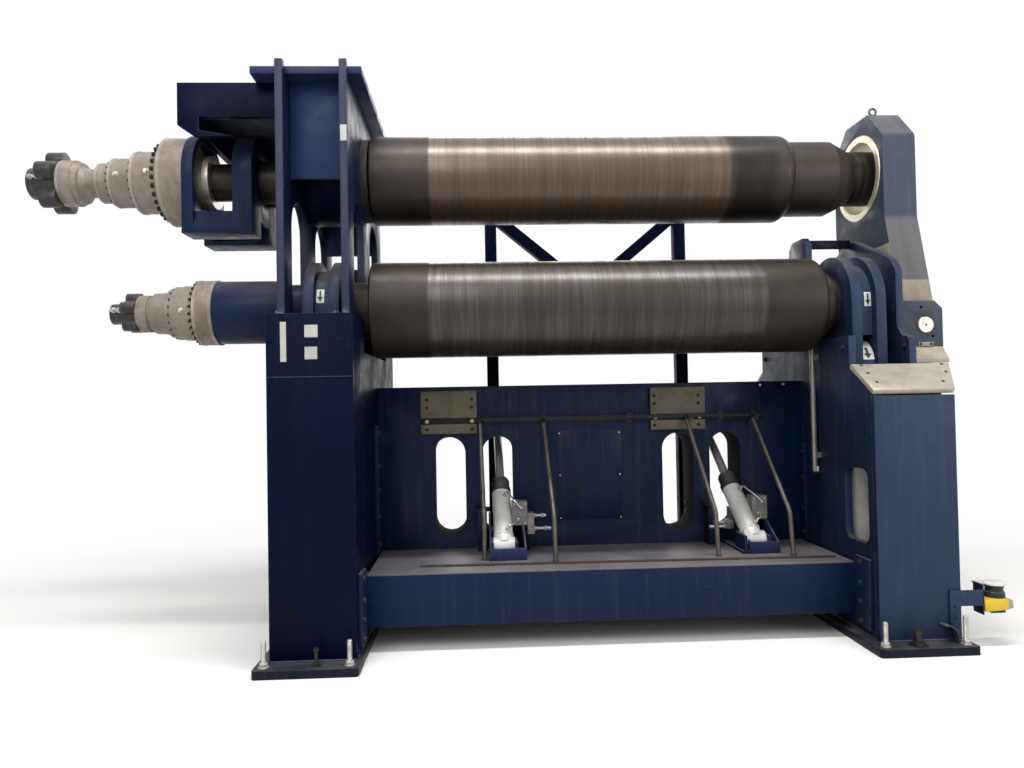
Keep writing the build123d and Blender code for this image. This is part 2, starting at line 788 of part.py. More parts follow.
with BuildPart() as top_lantern:
    for sign in side_sign.values():
        profile_plate([(-sign * y, top_roll_height + rise) for y, rise in side_beam], top_flange,
                      lantern_plate_end - top_flange)
        foot(sign, top_flange, lantern_disc_thickness)
        foot(sign, lantern_plate_start, lantern_plate_width)
    for start, end in ((top_flange, lantern_disc_end), (lantern_plate_start, lantern_plate_end)):
        turned([(start, lantern_flange_radius), (end, lantern_flange_radius)], 0, top_roll_height)
    turned([(top_flange, lantern_disc_bore), (lantern_disc_end, lantern_disc_bore)], 0, top_roll_height,
           mode=Mode.SUBTRACT)
    slab((lantern_plate_end, -column_outer), link_range,
         (top_roll_height - link_half_height, top_roll_height + link_half_height))
    collar_bore = tail_collar_radius + running_clearance
    turned([(lantern_plate_start, collar_bore), (lantern_plate_end, collar_bore)], 0, top_roll_height,
           mode=Mode.SUBTRACT)
save(top_lantern, "top_lantern")

with BuildPart() as top_gearbox:
    turned([(top_flange - out, radius) for out, radius in top_gear_steps], 0, top_roll_height)
save(top_gearbox, "top_gearbox")

with BuildPart() as top_motor:
    drive_motor(top_flange - top_gear_steps[-1][0], top_motor_length, top_motor_radius, 0, top_roll_height)
save(top_motor, "top_motor")

# Beams and decks that tie the columns in front and behind
for side, sign in side_sign.items():
    with BuildPart() as beam:
        outer_face = sign * beam_offset
        slab((-half_clear, half_clear), sorted((outer_face, sign * (beam_offset - beam_wall))),
             (beam_bottom, beam_top))
        for low in (beam_bottom, beam_top - beam_wall):
            slab((-half_clear, half_clear), sorted((outer_face, sign * (beam_offset - beam_flange))),
                 (low, low + beam_wall))
    save(beam, f"{side}_beam")
panel_rear = panel_front + panel_depth
deck_top = beam_top + deck_thickness
for label, depth_range in (("front_deck", (-beam_offset, panel_front)),
                           ("rear_deck", (panel_rear, beam_offset))):
    with BuildPart() as deck:
        slab((-half_clear + deck_end_gap, half_clear - deck_end_gap), depth_range, (beam_top, deck_top))
    save(deck, label)

# Hollow middle panel with four lined windows
window_centres = [pair + shift * window_pair_spacing / 2
                  for pair in window_pair_centres for shift in (-1, 1)]
window_middle = panel_top - panel_window_drop - panel_window_height / 2
with BuildPart() as middle_panel:
    slab((-half_clear, half_clear), (panel_front, panel_rear), (beam_bottom, panel_top))
    slab((-half_clear + panel_wall, half_clear - panel_wall),
         (panel_front + panel_wall, panel_rear - panel_wall),
         (beam_bottom + panel_wall, panel_top - panel_wall), mode=Mode.SUBTRACT)
    for wall, mode in ((liner_wall, Mode.ADD), (0, Mode.SUBTRACT)):
        with BuildSketch(xz_plane(panel_rear)) as openings:
            for x in window_centres:
                with Locations((x, window_middle)):
                    SlotOverall(panel_window_height + 2 * wall, panel_window_width + 2 * wall, rotation=90)
        extrude(openings.sketch, amount=panel_depth, mode=mode)
save(middle_panel, "middle_panel")

pad_middle = panel_top - panel_pad_drop
with BuildPart() as panel_pads:
    pad_width, pad_tall = panel_pad_size
    for x in panel_pad_centres:
        x_range = (x - pad_width / 2, x + pad_width / 2)
        slab(x_range, (panel_front - panel_pad_thickness, panel_front),
             (pad_middle - pad_tall / 2, pad_middle + pad_tall / 2))
        slab(x_range, (panel_front - panel_pad_thickness, panel_front - panel_pad_thickness / 2),
             (pad_middle - pad_groove, pad_middle), mode=Mode.SUBTRACT)
save(panel_pads, "panel_pads")

# Bent guard rods from a rail on the panel down to the deck
rail_height = panel_top - rail_drop
rail_front = panel_front - rail_depth
with BuildPart() as guard_rods:
    slab((rail_start, rail_end), (rail_front, rail_front + rail_size),
         (rail_height, rail_height + rail_size))
    for top_x, foot_x, foot_y in guard_rod_places:
        with BuildLine() as path:
            FilletPolyline((top_x, rail_front, rail_height + rail_size / 2),
                           (foot_x, foot_y + guard_knee_run, guard_knee_height),
                           (foot_x, foot_y, deck_top + guard_foot_thickness), radius=guard_knee_radius)
        with BuildSketch(Plane(path.line @ 0, z_dir=path.line % 0)) as rod_section:
            Circle(guard_rod_radius)
        sweep(rod_section.sketch, path=path.line)
        with BuildSketch(Plane.XY.offset(deck_top)) as foot_disc:
            with Locations((foot_x, foot_y)):
                Circle(guard_foot_radius)
        extrude(foot_disc.sketch, amount=guard_foot_thickness)
    for x, packing in rail_clips:
        slab((x - clip_half, x + clip_half), (rail_front, panel_front - packing),
             (rail_height - clip_half, rail_height + clip_half))
save(guard_rods, "guard_rods")

# Support cylinders that lean back through two of the windows, on cradles bolted to the deck
with BuildPart() as cylinder_cradles:
    for foot_x, _ in support_places:
        slab((foot_x - cradle_half, foot_x + cradle_half), (support_foot_y - cradle_front, panel_front),
             (deck_top, deck_top + cradle_base))
        for sign in (-1, 1):
            cheek = sorted(foot_x + sign * reach
                           for reach in (cradle_cheek_inner, cradle_cheek_inner + cradle_cheek))
            slab(cheek, (support_foot_y - cradle_front, support_foot_y + cradle_rear),
                 (deck_top + cradle_base, support_foot_z + cradle_head))
save(cylinder_cradles, "cylinder_cradles")


def leaning(start, end, distance, radius, length):
    # A straight round bar on the line from start to end, begun at a distance along it
    way = (Vector(*end) - Vector(*start)).normalized()
    with BuildSketch(Plane(Vector(*start) + way * distance, z_dir=way)) as section:
        Circle(radius)
    extrude(section.sketch, amount=length)


with BuildPart() as support_cylinders:
    for foot_x, head_x in support_places:
        start = (foot_x, support_foot_y, support_foot_z)
        end = (head_x, support_head_y, support_head_z)
        leaning(start, end, 0, support_barrel_radius, support_barrel_length)
        leaning(start, end, support_barrel_length, support_cap_radius, support_cap_length)
        with BuildSketch(yz_plane(foot_x - cradle_cheek_inner)) as foot_eye:
            with Locations((support_foot_y, support_foot_z)):
                Circle(support_eye_radius)
        extrude(foot_eye.sketch, amount=2 * cradle_cheek_inner)
save(support_cylinders, "support_cylinders")

with BuildPart() as support_rods:
    for foot_x, head_x in support_places:
        start = (foot_x, support_foot_y, support_foot_z)
        end = (head_x, support_head_y, support_head_z)
        reach = hypot(head_x - foot_x, support_head_y - support_foot_y, support_head_z - support_foot_z)
        sleeve_end = support_barrel_length + support_cap_length
        leaning(start, end, sleeve_end, support_rod_radius, reach - sleeve_end)
        with BuildSketch(yz_plane(head_x - support_eye_radius / 2)) as head_eye:
            with Locations((support_head_y, support_head_z)):
                Circle(support_eye_radius)
        extrude(head_eye.sketch, amount=support_eye_radius)
save(support_rods, "support_rods")

with BuildPart() as support_manifolds:
    for foot_x, head_x in support_places:
        front_y = manifold_y - manifold_depth / 2
        run = support_head_y - support_foot_y
        front_x = foot_x + (head_x - foot_x) * (front_y - support_foot_y) / run
        middle_z = support_foot_z + (support_head_z - support_foot_z) * (manifold_y - support_foot_y) / run
        x_start = front_x + support_barrel_radius + manifold_gap
        slab((x_start, x_start + manifold_width), (front_y, front_y + manifold_depth),
             (middle_z - manifold_height / 2, middle_z + manifold_height / 2))
save(support_manifolds, "support_manifolds")

# Frame behind the rear roll that carries the support arms
with BuildPart() as rear_support_frame:
    post_range = (beam_offset, beam_offset + post_size)
    for foot_x, head_x in support_places:
        post_x = rear_post_places[head_x > 0]
        slab((post_x - post_size / 2, post_x + post_size / 2), post_range,
             (beam_bottom, rear_frame_top - post_size))
        bracket_range = (support_head_z - bracket_half, support_head_z + bracket_half)
        slab((head_x - bracket_half, head_x + bracket_half),
             (support_head_y + support_eye_radius + seat_gap, beam_offset), bracket_range)
        slab(sorted((post_x, head_x + bracket_half)), (beam_offset - beam_wall, beam_offset), bracket_range)
    low_x, high_x = rear_post_places
    brace_top = rear_frame_top - post_size
    slab((low_x - post_size / 2, high_x + post_size / 2), post_range, (brace_top, rear_frame_top))
    with BuildSketch(xz_plane(beam_offset + post_size)) as braces:
        for post_x, toward in ((low_x, 1), (high_x, -1)):
            Polygon((post_x, brace_top), (post_x + toward * brace_width, brace_top),
                    (post_x + toward * (brace_run + brace_width), brace_low),
                    (post_x + toward * brace_run, brace_low), align=None)
        slab_low = brace_low - post_size
        Polygon((low_x, slab_low), (high_x, slab_low), (high_x, brace_low), (low_x, brace_low), align=None)
    extrude(braces.sketch, amount=post_size)
save(rear_support_frame, "rear_support_frame")

# Position rod beside the right frame, and the laser scanner on its bracket
with BuildPart() as position_rod:
    with BuildSketch(Plane.XY.offset(rod_low)):
        with Locations((half_clear - rod_offset, rod_y)):
            Circle(rod_radius)
    extrude(amount=rod_high - rod_low)
    for height in (rod_low + rod_clip_inset, rod_high - rod_clip_inset):
        slab((half_clear - rod_offset, half_clear), (rod_y - rod_radius, rod_y + rod_radius),
             (height - rod_radius, height + rod_radius))
save(position_rod, "position_rod")

bracket_x = column_outer
scanner_bracket_high = scanner_bracket_low + scanner_bracket_height
with BuildPart() as scanner_bracket:
    slab((bracket_x, bracket_x + scanner_plate), (-side_depth, -side_depth + scanner_bracket_depth),
         (scanner_bracket_low, scanner_bracket_high))
    slab((bracket_x, bracket_x + scanner_arm), (-side_depth, -side_depth + scanner_bracket_depth),
         (scanner_low, scanner_low + scanner_arm_height))
save(scanner_bracket, "scanner_bracket")

with BuildPart() as safety_scanner:
    scanner_x = bracket_x + scanner_arm + scanner_radius
    scanner_y = -side_depth + scanner_bracket_depth / 2
    with BuildSketch(Plane.XY.offset(scanner_low)):
        with Locations((scanner_x, scanner_y)):
            RectangleRounded(2 * scanner_radius, 2 * scanner_radius, scanner_corner)
    extrude(amount=scanner_body)
    with BuildSketch(Plane.XY.offset(scanner_low + scanner_body)):
        with Locations((scanner_x, scanner_y)):
            Circle(scanner_head_radius)
    extrude(amount=scanner_head)
save(safety_scanner, "safety_scanner")
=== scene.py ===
import bpy
import bmesh
import json
import math
import random
from contextlib import contextmanager
from itertools import product
from mathutils import Matrix, Vector
from mathutils.bvhtree import BVHTree


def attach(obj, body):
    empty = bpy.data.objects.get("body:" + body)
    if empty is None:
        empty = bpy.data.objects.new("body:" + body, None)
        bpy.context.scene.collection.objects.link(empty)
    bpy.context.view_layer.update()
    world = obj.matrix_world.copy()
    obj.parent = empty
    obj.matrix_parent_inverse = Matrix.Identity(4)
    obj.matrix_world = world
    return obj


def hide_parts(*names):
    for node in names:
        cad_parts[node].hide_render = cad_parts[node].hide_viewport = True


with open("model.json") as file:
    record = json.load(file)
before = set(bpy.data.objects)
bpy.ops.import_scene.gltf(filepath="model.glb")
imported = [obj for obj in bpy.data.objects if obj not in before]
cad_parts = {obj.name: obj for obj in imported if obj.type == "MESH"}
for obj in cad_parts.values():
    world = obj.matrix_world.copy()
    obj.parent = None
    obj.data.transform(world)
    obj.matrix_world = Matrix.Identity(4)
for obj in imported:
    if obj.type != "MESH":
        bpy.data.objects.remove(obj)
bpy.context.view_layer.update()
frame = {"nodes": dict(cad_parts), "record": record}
nodes = frame["nodes"]
bodyOf = {node: body for body, members in frame["record"]["behaviour"]["bodies"].items() for node in members}
slotOf = {entry["node"]: entry["material_slot"] for entry in frame["record"]["subparts"]}
random.seed(7)

# shader helpers, groups first


class nodeTree:
    where = None  # made when first asked for

    def __init__(self, tree):
        self.tree = tree

    def add(self, kind, **values):
        node = self.tree.nodes.new(kind)
        for key, value in values.items():
            setattr(node, key, value)
        return node

    def put(self, socket, value):
        # value is another node's output, or a number, vector or colour
        if isinstance(value, bpy.types.NodeSocket):
            self.tree.links.new(value, socket)
        elif value is not None:
            socket.default_value = (*value, 1.0) if socket.type == "RGBA" else value

    def math(self, operation, first, second=None, clamp=False):
        node = self.add("ShaderNodeMath", operation=operation, use_clamp=clamp)
        self.put(node.inputs[0], first)
        self.put(node.inputs[1], second)
        return node.outputs[0]

    def times(self, first, second, clamp=False):
        return self.math("MULTIPLY", first, second, clamp)

    def plus(self, first, second, clamp=False):
        return self.math("ADD", first, second, clamp)

    def minus(self, first, second):
        return self.math("SUBTRACT", first, second)

    def ramp(self, value, low, high, lowOut=0.0, highOut=1.0):
        node = self.add("ShaderNodeMapRange", interpolation_type="SMOOTHSTEP")
        for socket, entry in zip(node.inputs, (value, low, high, lowOut, highOut)):
            self.put(socket, entry)
        return node.outputs["Result"]

    def mix(self, factor, first, second, kind="RGBA"):
        node = self.add("ShaderNodeMix", data_type="FLOAT" if kind == "VALUE" else kind)
        start, end = [socket for socket in node.inputs if socket.type == kind][-2:]
        for socket, value in ((node.inputs[0], factor), (start, first), (end, second)):
            self.put(socket, value)
        return [socket for socket in node.outputs if socket.type == kind][0]

    def place(self):  # where a point is on its piece, which moves with the piece
        self.where = self.where or self.add("ShaderNodeTexCoord").outputs["Object"]
        return self.where

    def noise(self, scale, detail, roughness, stretch=None):
        node, where = self.add("ShaderNodeTexNoise"), self.place()
        if stretch:
            mapping = self.add("ShaderNodeMapping")
            self.put(mapping.inputs["Scale"], stretch)
            self.put(mapping.inputs["Vector"], where)
            where = mapping.outputs["Vector"]
        for name, value in (("Vector", where), ("Scale", scale), ("Detail", detail), ("Roughness", roughness)):
            self.put(node.inputs[name], value)
        return node.outputs["Fac"]

    def axis(self, vector, name):
        node = self.add("ShaderNodeSeparateXYZ")
        self.put(node.inputs[0], vector)
        return node.outputs[name]

    def at(self, name):
        return self.axis(self.place(), name)

    def normal(self):
        return self.add("ShaderNodeNewGeometry").outputs["Normal"]

    def facing(self, name):
        return self.axis(self.normal(), name)

    def effect(self, group, **values):
        node = self.add("ShaderNodeGroup", node_tree=groups[group])
        for key, value in values.items():
            self.put(node.inputs[key], value)
        return node.outputs

    def done(self, colour, rough, height, strength, distance):
        bump = self.add("ShaderNodeBump")
        for name, value in (("Strength", strength), ("Distance", distance), ("Height", height)):
            self.put(bump.inputs[name], value)
        for name, value in (("Base Color", colour), ("Roughness", rough), ("Normal", bump.outputs["Normal"])):
            self.put(self.shader[name], value)
        return self.material


def newGroup(name, outputs, **inputs):
    tree = bpy.data.node_groups.new(name, "ShaderNodeTree")
    for label, value in inputs.items():
        tree.interface.new_socket(label, in_out="INPUT", socket_type="NodeSocketFloat").default_value = value
    for label in outputs:
        tree.interface.new_socket(label, in_out="OUTPUT", socket_type="NodeSocketFloat")
    t = nodeTree(tree)
    return t, t.add("NodeGroupInput").outputs, t.add("NodeGroupOutput").inputs


def edgeWearGroup():  # bare metal along edges and corners
    t, entry, leave = newGroup("edgeWear", ["Mask"], Width=0.004, Amount=0.5, Scale=14.0)
    bevel = t.add("ShaderNodeBevel", samples=4)
    t.put(bevel.inputs["Radius"], entry["Width"])
    dot = t.add("ShaderNodeVectorMath", operation="DOT_PRODUCT")
    t.put(dot.inputs[0], bevel.outputs["Normal"])
    t.put(dot.inputs[1], t.normal())
    edge = t.ramp(dot.outputs["Value"], 0.995, 0.80)
    broken = t.ramp(t.noise(entry["Scale"], 6, 0.65), 0.44, 0.62)
    t.put(leave["Mask"], t.times(t.times(edge, broken), entry["Amount"], clamp=True))
    return t.tree


def dustGroup():  # pale dust that lies on what faces up, and thins out down the walls
    t, entry, leave = newGroup("dust", ["Mask"], Amount=0.5, Walls=0.1, Scale=3.0)
    patches = t.ramp(t.noise(entry["Scale"], 7, 0.62), 0.34, 0.68)
    upward = t.times(t.ramp(t.facing("Z"), 0.35, 0.98), entry["Amount"])
    streaks = t.ramp(t.noise(4.0, 5, 0.6, (6.0, 6.0, 0.35)), 0.5, 0.72)
    onTop = t.times(upward, t.plus(t.times(patches, 0.7), 0.3))
    t.put(leave["Mask"], t.plus(onTop, t.times(streaks, entry["Walls"]), clamp=True))
    return t.tree


def scuffGroup():  # fine scratches in two directions, only inside a few broad rubs
    t, entry, leave = newGroup("scuffs", ["Mask"], Scale=6.0, Amount=0.5)
    lines = [t.ramp(t.noise(entry["Scale"], 3, 0.5, stretch), 0.66, 0.72)
             for stretch in ((1.0, 1.0, 22.0), (24.0, 3.0, 1.0))]
    rubs = t.ramp(t.noise(1.7, 6, 0.7), 0.5, 0.7)
    t.put(leave["Mask"], t.times(t.times(t.math("MAXIMUM", *lines), rubs), entry["Amount"], clamp=True))
    return t.tree


def bandGroup():  # the length of a roll that plates have run over, with fine rings round it
    t, entry, leave = newGroup("runBand", ["Worn", "Rings"], Start=-1.2, End=1.2, Fine=150.0)
    along = t.plus(t.at("X"), t.times(t.minus(t.noise(5.0, 5, 0.6), 0.5), 0.03))
    inside = t.math("MINIMUM", t.minus(along, entry["Start"]), t.minus(entry["End"], along))
    fine = t.noise(entry["Fine"], 2, 0.7, (1.0, 0.012, 0.012))
    broad = t.noise(1.0, 4, 0.6, (9.0, 0.35, 0.35))
    t.put(leave["Worn"], t.ramp(inside, -0.006, 0.016))
    t.put(leave["Rings"], t.plus(t.times(fine, 0.75), t.times(broad, 0.25)))
    return t.tree


groups = {"edge": edgeWearGroup(), "dust": dustGroup(), "scuffs": scuffGroup(), "band": bandGroup()}


def newMaterial(name, roughness=0.5, metallic=0.0, specular=0.3):
    material = bpy.data.materials.new(name)
    material.use_nodes = True
    t = nodeTree(material.node_tree)
    t.material, t.shader = material, t.tree.nodes["Principled BSDF"].inputs
    for label, value in (("Roughness", roughness), ("Metallic", metallic), ("Specular IOR Level", specular)):
        t.put(t.shader[label], value)
    return t


def paint(name, colour, shade, dust=0.5, walls=0.1, wear=0.6, roughness=0.42, front=None, low=None, sides=None,
          gloss=0.12):
    # brushed and rolled machine enamel: slow colour drift, orange peel, chips at the edges, scratches, dust
    # front is a painted highlight: a lighter colour on faces toward the camera and lamps; sides is painted shade on
    # faces that face neither front nor back; low is a bare foot, with painted light on its lower front
    t = newMaterial(name, roughness, specular=gloss)
    bare = (0.16, 0.15, 0.14)
    body = t.mix(t.ramp(t.noise(0.9, 5, 0.6), 0.3, 0.7), colour, shade)
    if front:
        uneven = t.ramp(t.noise(1.4, 5, 0.6), 0.2, 0.6, 0.7, 1.0)
        # painted highlight: faces toward the lamps get the lighter front colour
        body = t.mix(t.times(t.ramp(t.facing("Y"), -0.75, -0.98), uneven), body, front)
    scratched = t.mix(t.times(t.effect("scuffs", Amount=0.35)["Mask"], 0.5), body, bare)
    chips = t.effect("edge", Amount=wear)["Mask"]
    powder = t.effect("dust", Amount=dust, Walls=walls)["Mask"]
    surface = t.mix(powder, t.mix(chips, scratched, bare), (0.24, 0.215, 0.19))
    if low:
        # painted light: front faces below litSlope go lighter grey, as if the sloping face were lit from above
        litSlope = t.times(t.ramp(t.at("Z"), low["litSlope"] + 0.03, low["litSlope"] - 0.03), t.ramp(t.facing("Y"), -0.6, -0.9))
        surface = t.mix(t.times(litSlope, 0.75), surface, low["grey"])
        inner = t.times(t.ramp(t.facing("X"), -0.6, -0.8), low["inner"] - low["z"])
        edge = t.plus(t.minus(t.at("Z"), inner), t.times(t.noise(9.0, 4, 0.6), 0.02))
        foot = t.mix(t.ramp(t.noise(6.0, 6, 0.65), 0.3, 0.7), low["colour"], low["shade"])
        surface = t.mix(t.ramp(edge, low["z"] + 0.006, low["z"] - 0.006), surface, foot)
    smear = t.ramp(t.noise(7.0, 6, 0.65), 0.35, 0.7, roughness - 0.08, roughness + 0.12)
    rough = t.plus(smear, t.times(powder, 0.4), clamp=True)
    if sides:
        # painted shade: faces that face neither front nor back go dark, as in the shaded window liners
        turned = t.ramp(t.math("ABSOLUTE", t.facing("Y")), 0.75, 0.45)
        surface = t.mix(turned, surface, sides)
        rough = t.math("MAXIMUM", rough, t.times(turned, 0.95))
    peel = t.plus(t.times(t.noise(420.0, 2, 0.5), 0.12), t.noise(2.5, 3, 0.5))
    return t.done(surface, rough, t.minus(peel, t.times(chips, 0.25)), 0.35, 0.0016)


def scaled(colour, share):
    return tuple(channel * share for channel in colour)


def rollSteel(name, skin, dark, start, end, worn, oily=None):
    # rolled steel with a dark oiled skin, rubbed even where plates run; oily gives the stained length and the collar
    t = newMaterial(name, 0.42, metallic=0.6)
    t.put(t.shader["Coat Roughness"], 0.30)
    band = t.effect("band", Start=start, End=end)
    run, rings = band["Worn"], band["Rings"]
    inner = t.mix(t.ramp(rings, 0.36, 0.64), scaled(worn, 0.90), scaled(worn, 1.10))
    inner = t.mix(t.times(t.ramp(t.noise(1.8, 6, 0.6), 0.42, 0.66), 0.35), inner, skin)
    body = t.mix(run, t.mix(t.ramp(t.noise(2.4, 7, 0.65), 0.32, 0.7), skin, dark), inner)
    if oily:
        along = t.at("X")
        first, last, collar = oily
        length = t.times(t.ramp(along, first - 0.02, first + 0.02), t.ramp(along, last + 0.05, last - 0.05))
        stain = t.ramp(t.noise(3.0, 6, 0.7, (1.0, 0.6, 0.6)), 0.3, 0.55, 0.4, 0.9)
        body = t.mix(t.times(length, stain), body, scaled(dark, 0.55))
        lines = t.ramp(t.noise(1.0, 2, 0.5, (38.0, 0.1, 0.1)), 0.42, 0.56, 0.35, 0.9)
        body = t.mix(t.times(t.ramp(along, collar, collar + 0.01), lines), body, (0.006, 0.006, 0.006))
    spots = t.ramp(t.noise(26.0, 3, 0.7), 0.70, 0.76)
    endRough = t.ramp(t.noise(5.0, 6, 0.7), 0.3, 0.7, 0.40, 0.58)
    rough = t.mix(run, endRough, t.ramp(rings, 0.36, 0.64, 0.46, 0.34), "VALUE")
    clusters = t.ramp(t.noise(1.0, 6, 0.7, (16.0, 1.2, 1.2)), 0.38, 0.62, 0.45, 1.0)
    polish = t.times(t.ramp(rings, 0.38, 0.60, 0.45, 1.0), clusters)
    t.put(t.shader["Coat Weight"], t.plus(t.times(run, polish), 0.06, clamp=True))
    return t.done(t.mix(t.times(spots, 0.4), body, dark), rough, t.times(rings, run), 0.16, 0.0004)


def machined(name, colour, shade, roughness=0.36, metallic=0.7, grain=(1.0, 60.0, 1.0), rust=0.15, above=None):
    # milled or ground steel with a directional grain, stains and a little rust
    t = newMaterial(name, roughness, metallic)
    lines = t.noise(18.0, 3, 0.6, grain)
    body = t.mix(t.ramp(t.noise(9.0, 7, 0.7), 0.42, 0.72), colour, shade)
    brown = t.times(t.ramp(t.noise(17.0, 6, 0.7), 0.55, 0.7), rust)
    surface = t.mix(brown, body, (0.12, 0.055, 0.028))
    if above:
        surface = t.mix(t.ramp(t.at("Z"), above[0], above[0] + 0.012), surface, above[1])
    return t.done(surface, t.ramp(lines, 0.3, 0.7, roughness - 0.08, roughness + 0.16), lines, 0.25, 0.0006)


def casting(name, colour, shade, dust=0.4, rough=0.55, stain=0.6, specular=0.35):
    # sand-cast housing under thin paint, with oil run down from its joints
    t = newMaterial(name, rough, specular=specular)
    drift = t.ramp(t.noise(5.0, 7, 0.7), 0.35, 0.68)
    oily = t.ramp(t.noise(3.2, 6, 0.6, (1.4, 1.4, 0.5)), 0.52, 0.70)
    stained = t.mix(t.times(oily, stain), t.mix(drift, colour, shade), (0.085, 0.06, 0.04))
    worn = t.mix(t.effect("edge", Amount=0.5, Scale=24.0)["Mask"], stained, (0.14, 0.11, 0.085))
    surface = t.mix(t.effect("dust", Amount=dust, Walls=0.12)["Mask"], worn, (0.26, 0.235, 0.20))
    grain = t.plus(t.noise(160.0, 4, 0.6), t.times(t.noise(30.0, 4, 0.6), 0.8))
    return t.done(surface, t.ramp(drift, 0, 1, rough - 0.1, rough + 0.15), grain, 0.4, 0.0012)


def deckPlate(name, colour, shade):
    # painted floor plate, walked on: a rubbed path under dust and scale
    t = newMaterial(name, 0.6, specular=0.25)
    base = t.mix(t.ramp(t.noise(1.6, 7, 0.65), 0.35, 0.65), colour, shade)
    path = t.ramp(t.noise(1.3, 7, 0.7, (0.5, 3.0, 1.0)), 0.50, 0.66)
    brown = t.mix(t.times(path, 0.45), base, (0.115, 0.095, 0.080))
    specks = t.ramp(t.noise(60.0, 3, 0.8), 0.64, 0.72)
    flaked = t.mix(t.times(specks, 0.35), brown, (0.20, 0.185, 0.17))
    surface = t.mix(t.effect("edge", Amount=0.8)["Mask"], flaked, (0.22, 0.20, 0.18))
    return t.done(surface, t.ramp(specks, 0, 1, 0.5, 0.75), t.plus(specks, t.noise(8.0, 5, 0.6)), 0.3, 0.0015)


def moulded(name, colour, shade, roughness=0.42, dust=0.4):
    t = newMaterial(name, roughness)
    drift = t.ramp(t.noise(12.0, 5, 0.6), 0.3, 0.7)
    powder = t.effect("dust", Amount=dust, Walls=0.1, Scale=20.0)["Mask"]
    surface = t.mix(powder, t.mix(drift, colour, shade), (0.24, 0.22, 0.20))
    return t.done(surface, t.ramp(drift, 0, 1, roughness, roughness + 0.15), t.noise(600.0, 2, 0.5), 0.2, 0.0004)
